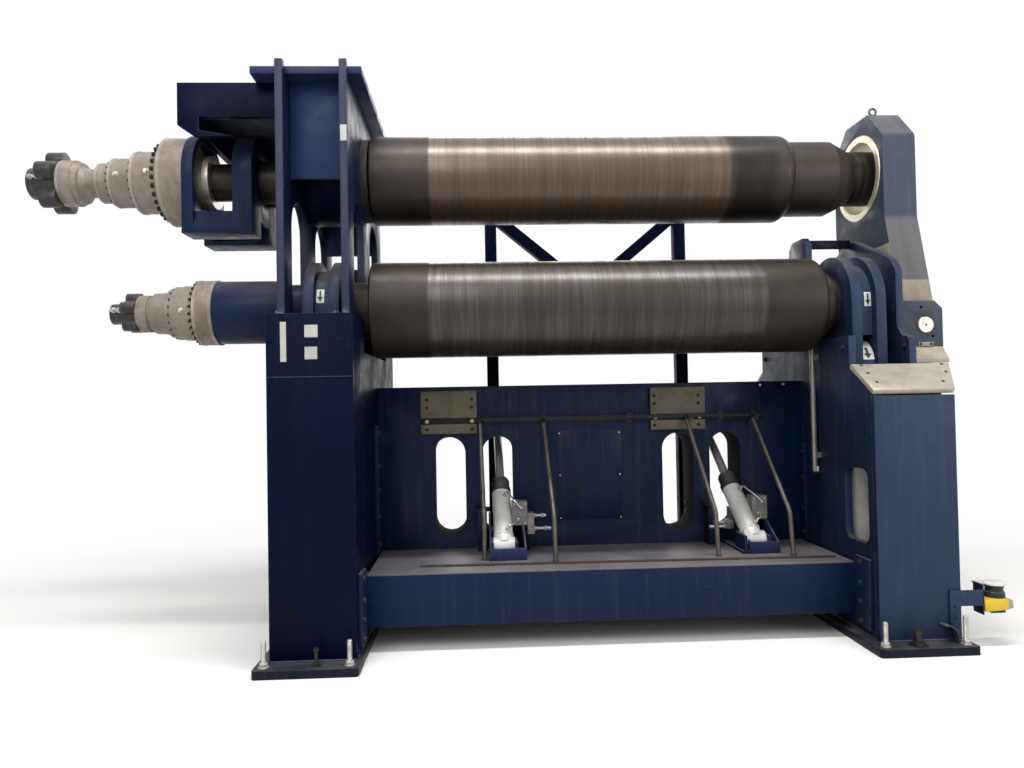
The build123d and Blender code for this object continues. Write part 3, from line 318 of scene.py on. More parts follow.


# bare steel foot of the yoke, and a lighter grey on its lower front faces that is painted light
bareFootAndLitSlope = dict(z=2.445, inner=2.715, litSlope=2.893, grey=(0.135, 0.130, 0.130), colour=(0.30, 0.265, 0.215),
                shade=(0.22, 0.19, 0.155))
recipes = {
    paint: {
        "frameBlue": ((0.0050, 0.0125, 0.043), (0.0035, 0.0092, 0.033), dict(dust=0.3, walls=0.03)),
        # painted shade: a darker copy of frameBlue for the left column, tail bracket and the other parts given it
        "columnBlue": ((0.0013, 0.0038, 0.019), (0.0008, 0.0025, 0.013), dict(dust=0.3, walls=0.006, gloss=0.05)),
        "baseBlue": ((0.0050, 0.0080, 0.020), (0.0035, 0.0055, 0.014), dict(dust=0.22, walls=0.05, wear=0.9)),
        # front: partly dust and bare steel on the plate edges, partly painted light on faces toward the lamps
        "plateBlue": ((0.0050, 0.0105, 0.036), (0.0035, 0.0075, 0.027),
                      dict(dust=0.4, walls=0.04, wear=0.8, front=(0.021, 0.026, 0.052))),
        "crossBlue": ((0.0170, 0.030, 0.098), (0.0130, 0.024, 0.080), dict(dust=0.4, walls=0.03)),
        # sides: painted shade on the window liners and on other faces that face neither front nor back
        "panelBlue": ((0.0030, 0.0085, 0.032), (0.0022, 0.0062, 0.025),
                      dict(dust=0.4, walls=0.04, roughness=0.36, sides=(0.0030, 0.0036, 0.0065))),
        "liftBlue": ((0.016, 0.026, 0.075), (0.012, 0.020, 0.058), dict(dust=0.3, walls=0.04)),
        # front here, on yokeBlue and on earBlue: painted highlight on faces toward the lamps
        "rightBlue": ((0.0080, 0.014, 0.036), (0.0055, 0.010, 0.027),
                      dict(dust=0.3, walls=0.04, front=(0.019, 0.031, 0.066))),
        "darkBlue": ((0.0040, 0.0065, 0.016), (0.0030, 0.0045, 0.012), dict(dust=0.35, walls=0.05)),
        "yokeBlue": ((0.034, 0.044, 0.062), (0.028, 0.037, 0.054),
                     dict(walls=0.06, roughness=0.5, front=(0.045, 0.056, 0.084), low=bareFootAndLitSlope)),
        "earBlue": ((0.030, 0.038, 0.052), (0.024, 0.031, 0.044),
                    dict(dust=0.4, walls=0.06, front=(0.040, 0.050, 0.068))),
        "railPaint": ((0.014, 0.015, 0.016), (0.010, 0.010, 0.011), dict(dust=0.4, wear=0.9)),
        "plateEdge": ((0.13, 0.14, 0.15), (0.09, 0.10, 0.12), dict(dust=0.4)),
    },
    rollSteel: {
        "topRoll": ((0.040, 0.031, 0.025), (0.022, 0.018, 0.015),
                    dict(start=-1.20, end=1.02, worn=(0.074, 0.047, 0.029), oily=(1.05, 1.36, 1.93))),
        "sideRoll": ((0.032, 0.025, 0.019), (0.017, 0.0135, 0.011),
                     dict(start=-1.19, end=1.12, worn=(0.028, 0.0205, 0.015))),
    },
    machined: {
        "padSteel": ((0.355, 0.32, 0.258), (0.275, 0.245, 0.195), dict(metallic=0.4, roughness=0.42)),
        "bareSteel": ((0.50, 0.47, 0.42), (0.38, 0.35, 0.30), {}),
        "dullSteel": ((0.085, 0.076, 0.054), (0.060, 0.053, 0.038), dict(roughness=0.48, metallic=0.3, rust=0.2)),
        "rodSteel": ((0.105, 0.095, 0.085), (0.060, 0.050, 0.042),
                     dict(roughness=0.38, metallic=0.6, rust=0.4, grain=(20.0, 20.0, 1.0),
                          above=(1.432, (0.014, 0.018, 0.021)))),
        "brightRing": ((0.60, 0.54, 0.42), (0.40, 0.35, 0.27), dict(grain=(1.0, 14.0, 14.0), rust=0.3)),
        "chromeRod": ((0.50, 0.50, 0.50), (0.40, 0.40, 0.40), dict(roughness=0.2, grain=(20.0, 20.0, 1.0), rust=0.0)),
        "dullRod": ((0.24, 0.23, 0.215), (0.16, 0.15, 0.14), dict(roughness=0.32, grain=(20.0, 20.0, 1.0), rust=0.1)),
        "zinc": ((0.48, 0.47, 0.44), (0.34, 0.33, 0.30), dict(roughness=0.34)),
        "brass": ((0.40, 0.31, 0.18), (0.28, 0.21, 0.12), dict(roughness=0.4)),
        "darkBolt": ((0.034, 0.032, 0.030), (0.052, 0.048, 0.044), dict(roughness=0.42, rust=0.12)),
        "blackBolt": ((0.010, 0.009, 0.009), (0.018, 0.016, 0.014), dict(roughness=0.5, metallic=0.3, rust=0.1)),
        "rustBar": ((0.060, 0.042, 0.030), (0.040, 0.029, 0.022), dict(roughness=0.6, metallic=0.2, rust=0.8)),
        "beigeBar": ((0.34, 0.30, 0.24), (0.25, 0.22, 0.175), dict(roughness=0.6, metallic=0.0, rust=0.1)),
    },
    casting: {
        "gearGrey": ((0.235, 0.200, 0.165), (0.150, 0.126, 0.103), dict(dust=0.3)),
        "rimGrey": ((0.30, 0.265, 0.225), (0.21, 0.18, 0.15), dict(dust=0.3)),
        "motorBlack": ((0.012, 0.013, 0.019), (0.022, 0.021, 0.024), dict(dust=0.2, rough=0.42, stain=0.2)),
        "whitePaint": ((0.56, 0.55, 0.54), (0.43, 0.42, 0.405), dict(dust=0.35, rough=0.34, stain=0.3, specular=0.5)),
        "silverCast": ((0.19, 0.185, 0.175), (0.08, 0.078, 0.076), dict(dust=0.2, rough=0.4, stain=0.7, specular=0.6)),
    },
    deckPlate: {"deck": ((0.082, 0.078, 0.093), (0.135, 0.127, 0.135), {})},
    moulded: {
        "scannerYellow": ((0.62, 0.43, 0.03), (0.54, 0.36, 0.02), dict(dust=0.15)),
        "blackPlastic": ((0.014, 0.014, 0.016), (0.022, 0.021, 0.021), {}),
        "plateWhite": ((0.62, 0.62, 0.60), (0.54, 0.53, 0.50), dict(dust=0.2)),
        "dullGrey": ((0.30, 0.30, 0.28), (0.24, 0.24, 0.225), dict(dust=0.2)),
        "stickerGrey": ((0.42, 0.42, 0.40), (0.34, 0.34, 0.32), dict(dust=0.1)),
    },
}
finishes = {name: kind(name, colour, shade, **more)
            for kind, rows in recipes.items() for name, (colour, shade, more) in rows.items()}
print("materials", len(finishes))

# mesh helpers

forward, leftward, rightward, upward, downward = (0, -1, 0), (-1, 0, 0), (1, 0, 0), (0, 0, 1), (0, 0, -1)
bothSides = (-1, 1)  # front and rear of the machine


def addObject(name, data):
    thing = bpy.data.objects.new(name, data)
    bpy.context.scene.collection.objects.link(thing)
    return thing


def meshFrom(name, bm):
    mesh = bpy.data.meshes.new(name)
    bm.to_mesh(mesh)
    bm.free()
    return mesh


def newPiece(name, bm, finish, slot, body="frame", node=None, sharp=32, cutters=()):
    # edges that turn by less than sharp degrees are shaded smooth
    bmesh.ops.recalc_face_normals(bm, faces=bm.faces)
    for edge in bm.edges:
        edge.smooth = len(edge.link_faces) == 2 and edge.calc_face_angle(0.0) < math.radians(sharp)
    for face in bm.faces:
        face.smooth = True
    piece = addObject(name, meshFrom(name, bm))
    piece.data.materials.append(finishes[finish])
    if cutters:
        drill(piece, cutters)
    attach(piece, body)
    if node:
        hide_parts(node)


@contextmanager
def making(name, finish, slot, **more):
    # of several pieces made together, the last one named is closed first
    bm = bmesh.new()
    yield bm
    newPiece(name, bm, finish, slot, **more)


def drill(piece, cutters):
    # cuts round holes: cutters are (centre, facing, radius, depth)
    bm = bmesh.new()
    for centre, facing, radius, depth in cutters:
        lathe(bm, [(-depth, radius), (0.004, radius)], centre, facing, 20)
    bmesh.ops.recalc_face_normals(bm, faces=bm.faces)
    tool = addObject("cutter", meshFrom("cutter", bm))
    cut = piece.modifiers.new("holes", "BOOLEAN")
    cut.operation, cut.object, cut.solver = "DIFFERENCE", tool, "EXACT"
    bpy.context.view_layer.update()
    drilled = bpy.data.meshes.new_from_object(piece.evaluated_get(bpy.context.evaluated_depsgraph_get()))
    piece.modifiers.clear()
    old, piece.data = piece.data, drilled
    drilled.name = old.name + "Drilled"
    spare = tool.data
    bpy.data.objects.remove(tool)
    for mesh in (spare, old):
        bpy.data.meshes.remove(mesh)


def dress(node, finish, cutters=(), bevel=0.003, angle=35):
    # the node's own form with rounded edges and drilled holes, in place of its sharp mesh
    bm = bmesh.new()
    bm.from_mesh(nodes[node].data)
    bmesh.ops.remove_doubles(bm, verts=bm.verts, dist=0.00002)
    bmesh.ops.dissolve_limit(bm, angle_limit=math.radians(0.6), verts=bm.verts, edges=bm.edges)
    hard = [e for e in bm.edges if len(e.link_faces) == 2 and e.calc_face_angle(0.0) > math.radians(angle)]
    bmesh.ops.bevel(bm, geom=hard, offset=bevel, segments=2, profile=0.5, affect="EDGES", clamp_overlap=True)
    newPiece(node + "Form", bm, finish, slotOf[node], bodyOf[node], node, 24, cutters)


def loft(bm, rings, closed=False):
    # skin over rings of points with a face at each end, or joined into a ring
    rings = [[bm.verts.new(point) for point in ring] for ring in rings]
    count = len(rings[0])
    for lower, upper in zip(rings, rings[1:] + rings[:1] if closed else rings[1:]):
        for step in range(count):
            after = (step + 1) % count
            bm.faces.new((lower[step], lower[after], upper[after], upper[step]))
    if not closed:
        bm.faces.new(list(reversed(rings[0])))
        bm.faces.new(rings[-1])


def circle(centre, side, other, radius, count):
    turns = (2 * math.pi * step / count for step in range(count))
    return [centre + (side * math.cos(turn) + other * math.sin(turn)) * radius for turn in turns]


def lathe(bm, profile, centre, facing=rightward, segments=32, closed=False):
    # turned form: profile is a list of (along, radius) from centre in the direction of facing
    facing = Vector(facing).normalized()
    side = facing.orthogonal().normalized()
    other = facing.cross(side)
    loft(bm, [circle(Vector(centre) + facing * along, side, other, radius, segments) for along, radius in profile],
         closed)


def stub(bm, where, facing, levels, radius, top, sides=6):
    # short hexagon or round form with a narrower outer end
    start, shoulder, end = levels
    lathe(bm, [(start, radius), (shoulder, radius), (end, top)], where, facing, sides)


def prism(bm, outline, start, end, axis="X", soft=0.0, segments=2):
    # outline pushed along an axis; its points are the other two coordinates in order
    part = bmesh.new()
    at = "XYZ".index(axis)
    loft(part, [[(*point[:at], level, *point[at:]) for point in outline] for level in (start, end)])
    bmesh.ops.recalc_face_normals(part, faces=part.faces)
    if soft:
        bmesh.ops.bevel(part, geom=list(part.edges), offset=soft, segments=segments, profile=0.5, affect="EDGES",
                        clamp_overlap=True)
    mesh = meshFrom("part", part)
    bm.from_mesh(mesh)
    bpy.data.meshes.remove(mesh)


def block(bm, low, high, soft=0.003, segments=2):
    # a bar or plate with rounded edges between two corners
    (x0, y0, z0), (x1, y1, z1) = low, high
    prism(bm, [(y0, z0), (y1, z0), (y1, z1), (y0, z1)], x0, x1, "X", soft, segments)


def tube(bm, points, radius, sides=10, closed=False):
    # bar of round section through points, with mitred turns
    rings, normal = [], None
    for index, point in enumerate(points):
        before = points[index - 1] if index or closed else point
        after = points[(index + 1) % len(points)] if index < len(points) - 1 or closed else point
        along = (after - before).normalized()
        normal = (normal - along * normal.dot(along) if normal else along.orthogonal()).normalized()
        rings.append(circle(point, normal, along.cross(normal), radius, sides))
    loft(bm, rings, closed)


def bend(path, radius, steps=5):
    # rounds the corners of a pipe run
    result = [path[0]]
    for before, corner, after in zip(path, path[1:], path[2:]):
        first = corner + (before - corner).normalized() * radius
        last = corner + (after - corner).normalized() * radius
        for step in range(steps + 1):
            t = step / steps
            result.append(first * (1 - t) ** 2 + corner * 2 * t * (1 - t) + last * t ** 2)
    return result + [path[-1]]


def weld(bm, start, end, size=0.008, ripple=0.007):
    # fillet weld with its ripples
    start, end = Vector(start), Vector(end)
    count = max(2, int((end - start).length / ripple))
    along = (end - start).normalized()
    side = along.orthogonal().normalized()
    rings = []
    for index in range(count + 1):
        swell = size * (1.0 + (0.10 if index % 2 else -0.06) + random.uniform(-0.05, 0.05))
        rings.append(circle(start.lerp(end, index / count), side, along.cross(side), swell, 8))
    loft(bm, rings)


def hexBolt(bm, where, facing, size=0.015):
    # head of a hexagon screw on its washer; size is the radius over its corners
    base, height = size * 0.22, size * 0.75
    stub(bm, where, facing, (0, base - 0.0006, base), size * 1.35, size * 1.30, 20)
    stub(bm, where, facing, (base, base + height * 0.82, base + height), size, size * 0.86)


def socketBolt(bm, where, facing, size=0.012):
    # cap screw with its socket
    lathe(bm, [(0, size), (size * 0.85, size), (size, size * 0.88), (size, size * 0.52), (size * 0.45, size * 0.50)],
          where, facing, 14)


def capScrew(bm, where, facing, size):
    # long head of a socket screw
    top = size * 1.8
    lathe(bm, [(0, size), (top * 0.92, size), (top, size * 0.88), (top, size * 0.52), (top * 0.6, size * 0.50)],
          where, facing, 12)


def studWithNut(bm, where, size, height):
    washer, pitch = size * 0.3, size * 0.24
    stub(bm, where, upward, (0, washer, washer + 0.001), size * 2.0, size * 1.9, 24)
    stub(bm, where, upward, (washer, washer + size * 1.3, washer + size * 1.5), size * 1.65, size * 1.45)
    thread, level = [], 0.0
    while level < height - pitch:
        thread += [(level, size * 0.90), (level + pitch / 2, size)]
        level += pitch
    lathe(bm, thread + [(height, size * 0.85)], where, upward, 14)


surfaces = {}


def onto(node, start, direction):
    # the point of a node's surface that a line from start meets, and the way that surface faces
    if node not in surfaces:
        data = nodes[node].data
        surfaces[node] = BVHTree.FromPolygons([v.co for v in data.vertices], [p.vertices for p in data.polygons])
    along = Vector(direction).normalized()
    where, facing = surfaces[node].ray_cast(Vector(start), along)[:2]
    if where is None:
        raise ValueError("no surface of " + node + " at " + str(tuple(start)))
    return where, facing if facing.dot(along) < 0 else -facing


print("helpers complete")

# CAD nodes: dressed form or finish, with small holes drilled

slopeHoles = dict(
    points=((1.690, 0.800), (1.688, 0.890), (1.692, 0.990), (2.240, 0.800), (2.214, 0.888), (2.126, 0.992)),
    above=3.0, radius=0.0125, depth=0.022)
earHoles = dict(points=((2.338, 2.226), (2.42, 2.015)), radius=0.011, depth=0.03)
slopes = [(*onto("right_pads", (x, side * y, slopeHoles["above"]), downward),
           slopeHoles["radius"], slopeHoles["depth"]) for (x, y), side in product(slopeHoles["points"], bothSides)]
ears = [(*onto("pivot_ears", (x, side, z), (0, -side, 0)), earHoles["radius"], earHoles["depth"])
        for (x, z), side in product(earHoles["points"], bothSides)]
holes = {"right_pads": slopes, "pivot_ears": ears}
dressing = {
    "frameBlue": "top_lantern front_lantern rear_lantern front_beam rear_beam cylinder_cradles",
    # columnBlue is painted shade
    "columnBlue": "left_covers left_side_plate tail_bracket rear_support_frame top_bearing_housing",
    "baseBlue": "left_base_plate right_base_plate",
    "crossBlue": "left_cross_panels",
    "darkBlue": "right_tie_bar",
    # on left_top_cap this lighter blue is a painted reflection above the column's painted shade
    "liftBlue": "left_top_cap front_lift_rods rear_lift_rods",
    "plateBlue": "left_outer_plate left_inner_plate",
    "panelBlue": "middle_panel",
    "rightBlue": "right_inner_plate right_outer_plate right_covers"
                 " front_arm_left front_arm_right rear_arm_left rear_arm_right",
    "yokeBlue": "drop_end_yoke",
    "earBlue": "pivot_ears",
    "deck": "front_deck rear_deck",
    "padSteel": "right_pads",
    "gearGrey": "top_gearbox front_gearbox rear_gearbox",
    "motorBlack": "top_motor front_motor rear_motor",
    "silverCast": "support_manifolds",
}
for finish, names in dressing.items():
    for node in names.split():
        dress(node, finish, holes.get(node, ()))
keeping = {
    "topRoll": "top_roll",
    "sideRoll": "front_roll rear_roll",
    "brightRing": "yoke_bearing_ring",
    "bareSteel": "pivot_pin shrink_disc",
    "rodSteel": "guard_rods",
    "whitePaint": "front_lift_barrels rear_lift_barrels support_cylinders",
    "chromeRod": "support_rods",
    "dullRod": "position_rod",
    "blackPlastic": "top_seal_ring",
}
for finish, names in keeping.items():
    for node in names.split():
        nodes[node].data.materials.clear()
        nodes[node].data.materials.append(finishes[finish])
print("nodes dressed")

# machined pads on the middle panel with the groove for the rail, and the screws of all pads

pads = dict(spans=((-1.2955, -0.8765), (0.4405, 0.8595)), face=-0.05, back=-0.0202, groove=-0.035,
            rows=((1.365, 1.437), (1.483, 1.685)), holeX=(-1.250, -0.914, 0.468, 0.807), holeZ=(1.622, 1.562, 1.398),
            radius=0.0125, depth=0.02, sunk=0.0145, screw=0.0118)
padHoles = list(product(pads["holeX"], pads["holeZ"]))
with making("panelPadsForm", "dullSteel", "bare_steel", node="panel_pads", sharp=24,
            cutters=[((x, pads["face"], z), forward, pads["radius"], pads["depth"]) for x, z in padHoles]) as bm:
    under, over = pads["rows"]
    for start, end in pads["spans"]:
        for low, high in (under, over):
            block(bm, (start, pads["face"], low), (end, pads["back"], high), 0.002)
        block(bm, (start + 0.001, pads["groove"], under[1] - 0.002), (end - 0.001, pads["back"], over[0] + 0.002),
              0.0005, 1)
with making("padBolts", "blackBolt", "bare_steel") as bm:
    for x, z in padHoles:
        socketBolt(bm, (x, pads["face"] + pads["sunk"], z), forward, pads["screw"])
    for where, facing, radius, depth in slopes:
        socketBolt(bm, where - facing * pads["sunk"], facing, pads["screw"])

# anchors, levelling screws, welds and strap of the base plates

anchors = dict(studs=((-2.1615, 0.157), (-1.6535, 0.150), (1.6135, 0.150), (2.1215, 0.172)), y=1.15, floor=0.052,
               size=0.016)
levelling = dict(screws=((-1.853, 0.104, 0.012, 0.028), (1.82, 0.095, 0.022, 0.060)), y=1.145)
with (making("levellingScrews", "darkBolt", "bare_steel") as dark, making("anchorStuds", "zinc", "bare_steel") as zinc):
    for (x, height), side in product(anchors["studs"], bothSides):
        studWithNut(zinc, (x, side * anchors["y"], anchors["floor"]), anchors["size"], height)
    for (x, height, shank, ring), side in product(levelling["screws"], bothSides):
        base = (x, side * levelling["y"], anchors["floor"])
        stub(dark, base, upward, (0, 0.003, 0.004), ring, ring - 0.002, 28)
        stub(dark, base, upward, (0.003, 0.020, 0.022), shank * 1.9, shank * 1.6)
        lathe(dark, [(0.02, shank), (height - 0.014, shank)], base, upward, 16)
        stub(dark, base, upward, (height - 0.016, height - 0.002, height), shank * 1.5, shank * 1.3)

footWelds = dict(spans=((-2.15, -1.625), (1.625, 2.09)), y=1.07, plate=1.03, z=0.053)
with making("footWelds", "liftBlue", "blue_paint") as bm:
    z = footWelds["z"]
    for start, end in footWelds["spans"]:
        for side in bothSides:
            weld(bm, (start, side * footWelds["y"], z), (end, side * footWelds["y"], z))
        for x in (start, end):
            weld(bm, (x, -footWelds["plate"], z), (x, footWelds["plate"], z))

# strap that curls from the front of the right column down to its base plate
columnLug = dict(y=(-1.138, -1.0703), thick=0.008, path=((2.000, 0.157), (2.028, 0.156), (2.054, 0.146), (2.073, 0.127),
                                                         (2.083, 0.100), (2.086, 0.074), (2.085, 0.0525)))
with making("columnLug", "earBlue", "blue_paint") as bm:
    path, upper = [Vector(point) for point in columnLug["path"]], []
    for index, point in enumerate(path):
        along = (path[min(index + 1, len(path) - 1)] - path[max(index - 1, 0)]).normalized()
        upper.append(point + Vector((-along.y, along.x)) * columnLug["thick"])
    prism(bm, upper + path[::-1], *columnLug["y"], "Y", 0.001)

# bolted ends of the beams and of the middle panel

beamEnds = dict(y=(0.806, 1.0), z=(0.10, 0.55), face=1.625, inner=1.600, boltY={-1: 0.95, 1: 0.89},
                boltZ=(0.516, 0.383, 0.259, 0.138), bolt=0.017)
panelEnds = {-1: dict(y=(-0.18, -0.021), z=(0.507, 1.44), boltY=-0.14, boltZ=(1.387, 1.144, 0.970, 0.770, 0.568)),
             1: dict(y=(-0.085, -0.021), z=(0.507, 1.235), boltY=-0.052, boltZ=(1.178, 0.978, 0.748, 0.565)),
             "bolt": 0.016}
with making("endBolts", "darkBolt", "bare_steel") as bolts, making("endPlates", "frameBlue", "blue_paint") as plates:
    for end in (-1, 1):
        face, inner, panel = end * beamEnds["face"], end * beamEnds["inner"], panelEnds[end]
        for side in bothSides:
            (y0, y1), (z0, z1) = beamEnds["y"], beamEnds["z"]
            block(plates, (face, side * y0, z0), (inner, side * y1, z1))
            for z in beamEnds["boltZ"]:
                hexBolt(bolts, (inner, side * beamEnds["boltY"][end], z), (-end, 0, 0), beamEnds["bolt"])
        (y0, y1), (z0, z1) = panel["y"], panel["z"]
        block(plates, (face, y0, z0), (inner, y1, z1))
        for z in panel["boltZ"]:
            hexBolt(bolts, (inner, panel["boltY"], z), (-end, 0, 0), panelEnds["bolt"])

# hatch, rail, brackets and small bolts on the front of the middle panel

hatch = dict(plate=((-0.272, -0.025, 0.697), (0.217, -0.02, 1.37)), face=-0.025, screwX=(-0.256, 0.200),
             screwZ=(1.350, 1.034, 0.712), screw=0.006)
panelScrews = dict(places=((1.299, -0.02, 1.690), (1.479, -0.02, 1.694)), size=0.008)
rail = dict(bar=((-1.28, -0.044, 1.439), (1.31, -0.0352, 1.480)), face=-0.044, boltZ=1.458,
            bolts=(-1.250, -0.913, 0.477, 0.815), brackets=(-0.38, 0.28, 0.98, 1.24))
linerBolts = dict(x=0.7655, y=0.19, z=(0.781, 0.712, 0.615), size=0.012)
with making("panelHatch", "panelBlue", "blue_paint") as bm:
    block(bm, *hatch["plate"], 0.0015)
with making("panelScrews", "zinc", "bare_steel") as bm:
    for x, z in product(hatch["screwX"], hatch["screwZ"]):
        socketBolt(bm, (x, hatch["face"], z), forward, hatch["screw"])
    for place in panelScrews["places"]:
        hexBolt(bm, place, forward, panelScrews["size"])
with making("panelRail", "railPaint", "blue_paint") as bm:
    block(bm, *rail["bar"], 0.0012)
with making("railBrackets", "railPaint", "blue_paint") as bm:
    for x in rail["brackets"]:
        block(bm, (x - 0.022, -0.0357, 1.425), (x + 0.022, -0.02, 1.494), 0.0015)
        hexBolt(bm, (x, rail["face"], rail["boltZ"]), forward, 0.010)
with making("railBolts", "brass", "bare_steel") as bm:
    for x in rail["bolts"]:
        hexBolt(bm, (x, rail["face"], rail["boltZ"]), forward, 0.011)
with making("linerBolts", "darkBolt", "bare_steel") as bm:
    for z in linerBolts["z"]:
        hexBolt(bm, (linerBolts["x"], linerBolts["y"], z), leftward, linerBolts["size"])

# support cylinders: glands, feet, pipes, and the blocks that carry them
# each place gives x of foot, head and manifold, then for each block the span of its post and of its top

supports = dict(
    places=((-0.700, -0.715, -0.579, ((-0.884, -0.815, -0.902, -0.791), (-0.545, -0.500, -0.568, -0.493))),
            (1.075, 0.975, 1.181, ((0.834, 0.880, 0.810, 0.879), (1.130, 1.165, 1.131, 1.205)))),
    foot=(-0.410, 0.590), head=(0.420, 1.400), barrel=0.068, length=0.47, portShares=(0.09, 0.395),
    portZ=(0.75, 0.83), portY=-0.264, lean=(0.35, 0, 0), postY=(-0.16, -0.0205), postZ=(0.506, 0.796), topZ=0.812,
    boltY=(-0.135, -0.055))
with (making("cylinderBlocks", "panelBlue", "blue_paint") as blocks,
      making("cylinderPipes", "chromeRod", "ground_steel") as pipes,
      making("cylinderFittings", "zinc", "bare_steel") as fittings,
      making("cylinderFeet", "whitePaint", "white_paint") as feet,
      making("cylinderGlands", "blackPlastic", "black_paint") as glands):
    radius, end = supports["barrel"], supports["length"]
    # dark gland with its ring at the upper end of the barrel, then weld rings and the rounded end at the foot
    gland = ((-0.012, radius + 0.0002), (-0.010, radius + 0.005), (0.028, radius + 0.005), (0.032, 0.066),
             (0.100, 0.066), (0.108, 0.060), (0.118, 0.058), (0.120, 0.036), (0.130, 0.0345), (0.130, 0.0322))
    root = ((0.055, radius * 0.7), (0.066, radius + 0.004), (0.078, radius + 0.006), (0.090, radius + 0.0004))
    for footX, headX, portX, posts in supports["places"]:
        foot = Vector((footX, *supports["foot"]))
        along = (Vector((headX, *supports["head"])) - foot).normalized()
        lathe(glands, [(end + level, out) for level, out in gland], foot, along, 40)
        lathe(feet, root, foot, along, 40)
        side = along.cross(Vector(rightward)).normalized()
        lean = ((-side if side.y > 0 else side) + Vector(supports["lean"])).normalized()
        for share, level in zip(supports["portShares"], supports["portZ"]):
            boss = foot + along * share + lean * radius
            stub(fittings, boss, lean, (-0.004, 0.020, 0.021), 0.014, 0.012, 16)
            stub(fittings, boss, lean, (0.020, 0.036, 0.038), 0.012, 0.009)
            start, out = boss + lean * 0.030, boss + lean * 0.052
            port = Vector((portX + (level - 0.79) * 0.3, supports["portY"], level))
            middle = port + Vector((0, -0.045, 0))
            turn = (out + middle) / 2 + Vector((0, -0.03, 0))
            tube(pipes, bend([start, out, turn, middle, port], 0.010), 0.0065, 8)
            stub(fittings, port, forward, (0, 0.014, 0.015), 0.011, 0.009)
        for x, z in product((-0.038, 0.038), (0.722, 0.858)):
            socketBolt(fittings, (portX + x, -0.265, z), forward, 0.006)
        (y0, y1), (z0, z1), top = supports["postY"], supports["postZ"], supports["topZ"]
        for start, stop, topStart, topStop in posts:
            block(blocks, (start, y0, z0), (stop, y1, z1))
            block(blocks, (topStart, y0 - 0.008, z1), (topStop, y1, top), 0.002)
            for y in supports["boltY"]:
                hexBolt(glands, ((topStart + topStop) / 2, y, top), upward, 0.011)

# the sloping side plates and the front plate round each support cylinder
channels = dict(spans=((-0.801, -0.547), (1.015, 1.228)), sheet=0.012, front=((-0.508, 0.5052), (-0.4965, 0.588)),
                outline=((-0.498, 0.5052), (-0.498, 0.586), (-0.150, 0.770), (-0.0205, 0.770), (-0.0205, 0.5052)))
with making("cylinderChannels", "liftBlue", "blue_paint") as bm:
    low, high = channels["front"]
    for start, end in channels["spans"]:
        for x in (start, end - channels["sheet"]):
            prism(bm, channels["outline"], x, x + channels["sheet"], "X", 0.0015)
        block(bm, (start, *low), (end, *high), 0.002)

# valve blocks and screwed fittings beside the cylinders: x, side, top of the block and levels of the fittings
valves = dict(places=((-0.524, 1, 0.790, (0.768, 0.676)), (0.985, -1, 0.700, (0.684, 0.655))), width=0.050,
              fittings=((0.085, 0.015, -0.225), (0.120, 0.017, -0.235)))
with making("valveFittings", "zinc", "bare_steel") as steel, making("valveBlocks", "silverCast", "grey_paint") as cast:
    for start, side, top, levels in valves["places"]:
        end, facing = start + side * valves["width"], (side, 0, 0)
        block(cast, (start, -0.262, 0.640), (end, -0.160, top), 0.003)
        for z, (length, size, y) in zip(levels, valves["fittings"]):
            at, nut = Vector((end, y, z)), length * 0.6
            stub(steel, at, facing, (0, 0.016, 0.018), size, size * 0.9)
            lathe(steel, [(0.018, size * 0.62), (nut, size * 0.62)], at, facing, 16)
            stub(steel, at, facing, (nut, nut + 0.018, nut + 0.020), size, size * 0.85)
            stub(steel, at, facing, (nut + 0.020, length, length + 0.003), size * 0.8, size * 0.6, 16)

deckStrip = dict(start=(-1.272, -0.623), end=(1.535, -0.678), width=0.028, z=(0.505, 0.517))
with making("deckStrip", "rustBar", "bare_steel") as bm:
    start, end = Vector(deckStrip["start"]), Vector(deckStrip["end"])
    across = (end - start).orthogonal().normalized() * deckStrip["width"] / 2
    prism(bm, [start - across, end - across, end + across, start + across], *deckStrip["z"], "Z", 0.002)

# safety scanner and its bracket, on the front of the right column

scanner = dict(
    outline=((2.071, 0.137), (2.137, 0.137), (2.137, 0.264), (2.290, 0.264), (2.290, 0.362), (2.071, 0.362)),
    outlineY=(-1.082, -1.0702), plate=((2.284, -1.082, 0.205), (2.292, -0.985, 0.396)),
    body=((2.300, 0.222), (2.455, 0.232), (2.448, 0.300), (2.292, 0.304)), bodyY=(-1.085, -0.945),
    cheek=((2.448, 0.236), (2.484, 0.240), (2.482, 0.292), (2.446, 0.298)), cheekY=(-1.080, -0.950),
    belly=((2.345, -1.070, 0.210), (2.440, -0.960, 0.228)), axis=(2.402, -1.015, 0),
    head=((0.300, 0.054), (0.306, 0.062), (0.334, 0.060), (0.342, 0.052), (0.360, 0.052), (0.366, 0.056),
          (0.380, 0.056)),
    visor=((0.380, 0.060), (0.382, 0.070), (0.391, 0.070), (0.394, 0.064)),
    visorBlock=((2.2925, -1.010, 0.381), (2.488, -0.955, 0.393)), screws=((2.109, 0.265), (2.111, 0.195)))
with making("scannerBracketForm", "rightBlue", "blue_paint", node="scanner_bracket") as bm:
    prism(bm, scanner["outline"], *scanner["outlineY"], "Y", 0.0012)
    block(bm, *scanner["plate"], 0.002)
    for x, z in scanner["screws"]:
        hexBolt(bm, (x, scanner["outlineY"][0], z), forward, 0.010)
with making("scannerBody", "scannerYellow", "yellow_plastic", node="safety_scanner") as bm:
    prism(bm, scanner["body"], *scanner["bodyY"], "Y", 0.007)
with making("scannerCheek", "dullGrey", "grey_paint") as bm:
    prism(bm, scanner["cheek"], *scanner["cheekY"], "Y", 0.005)
with making("scannerHead", "blackPlastic", "black_paint") as bm:
    lathe(bm, scanner["head"], scanner["axis"], upward, 40)
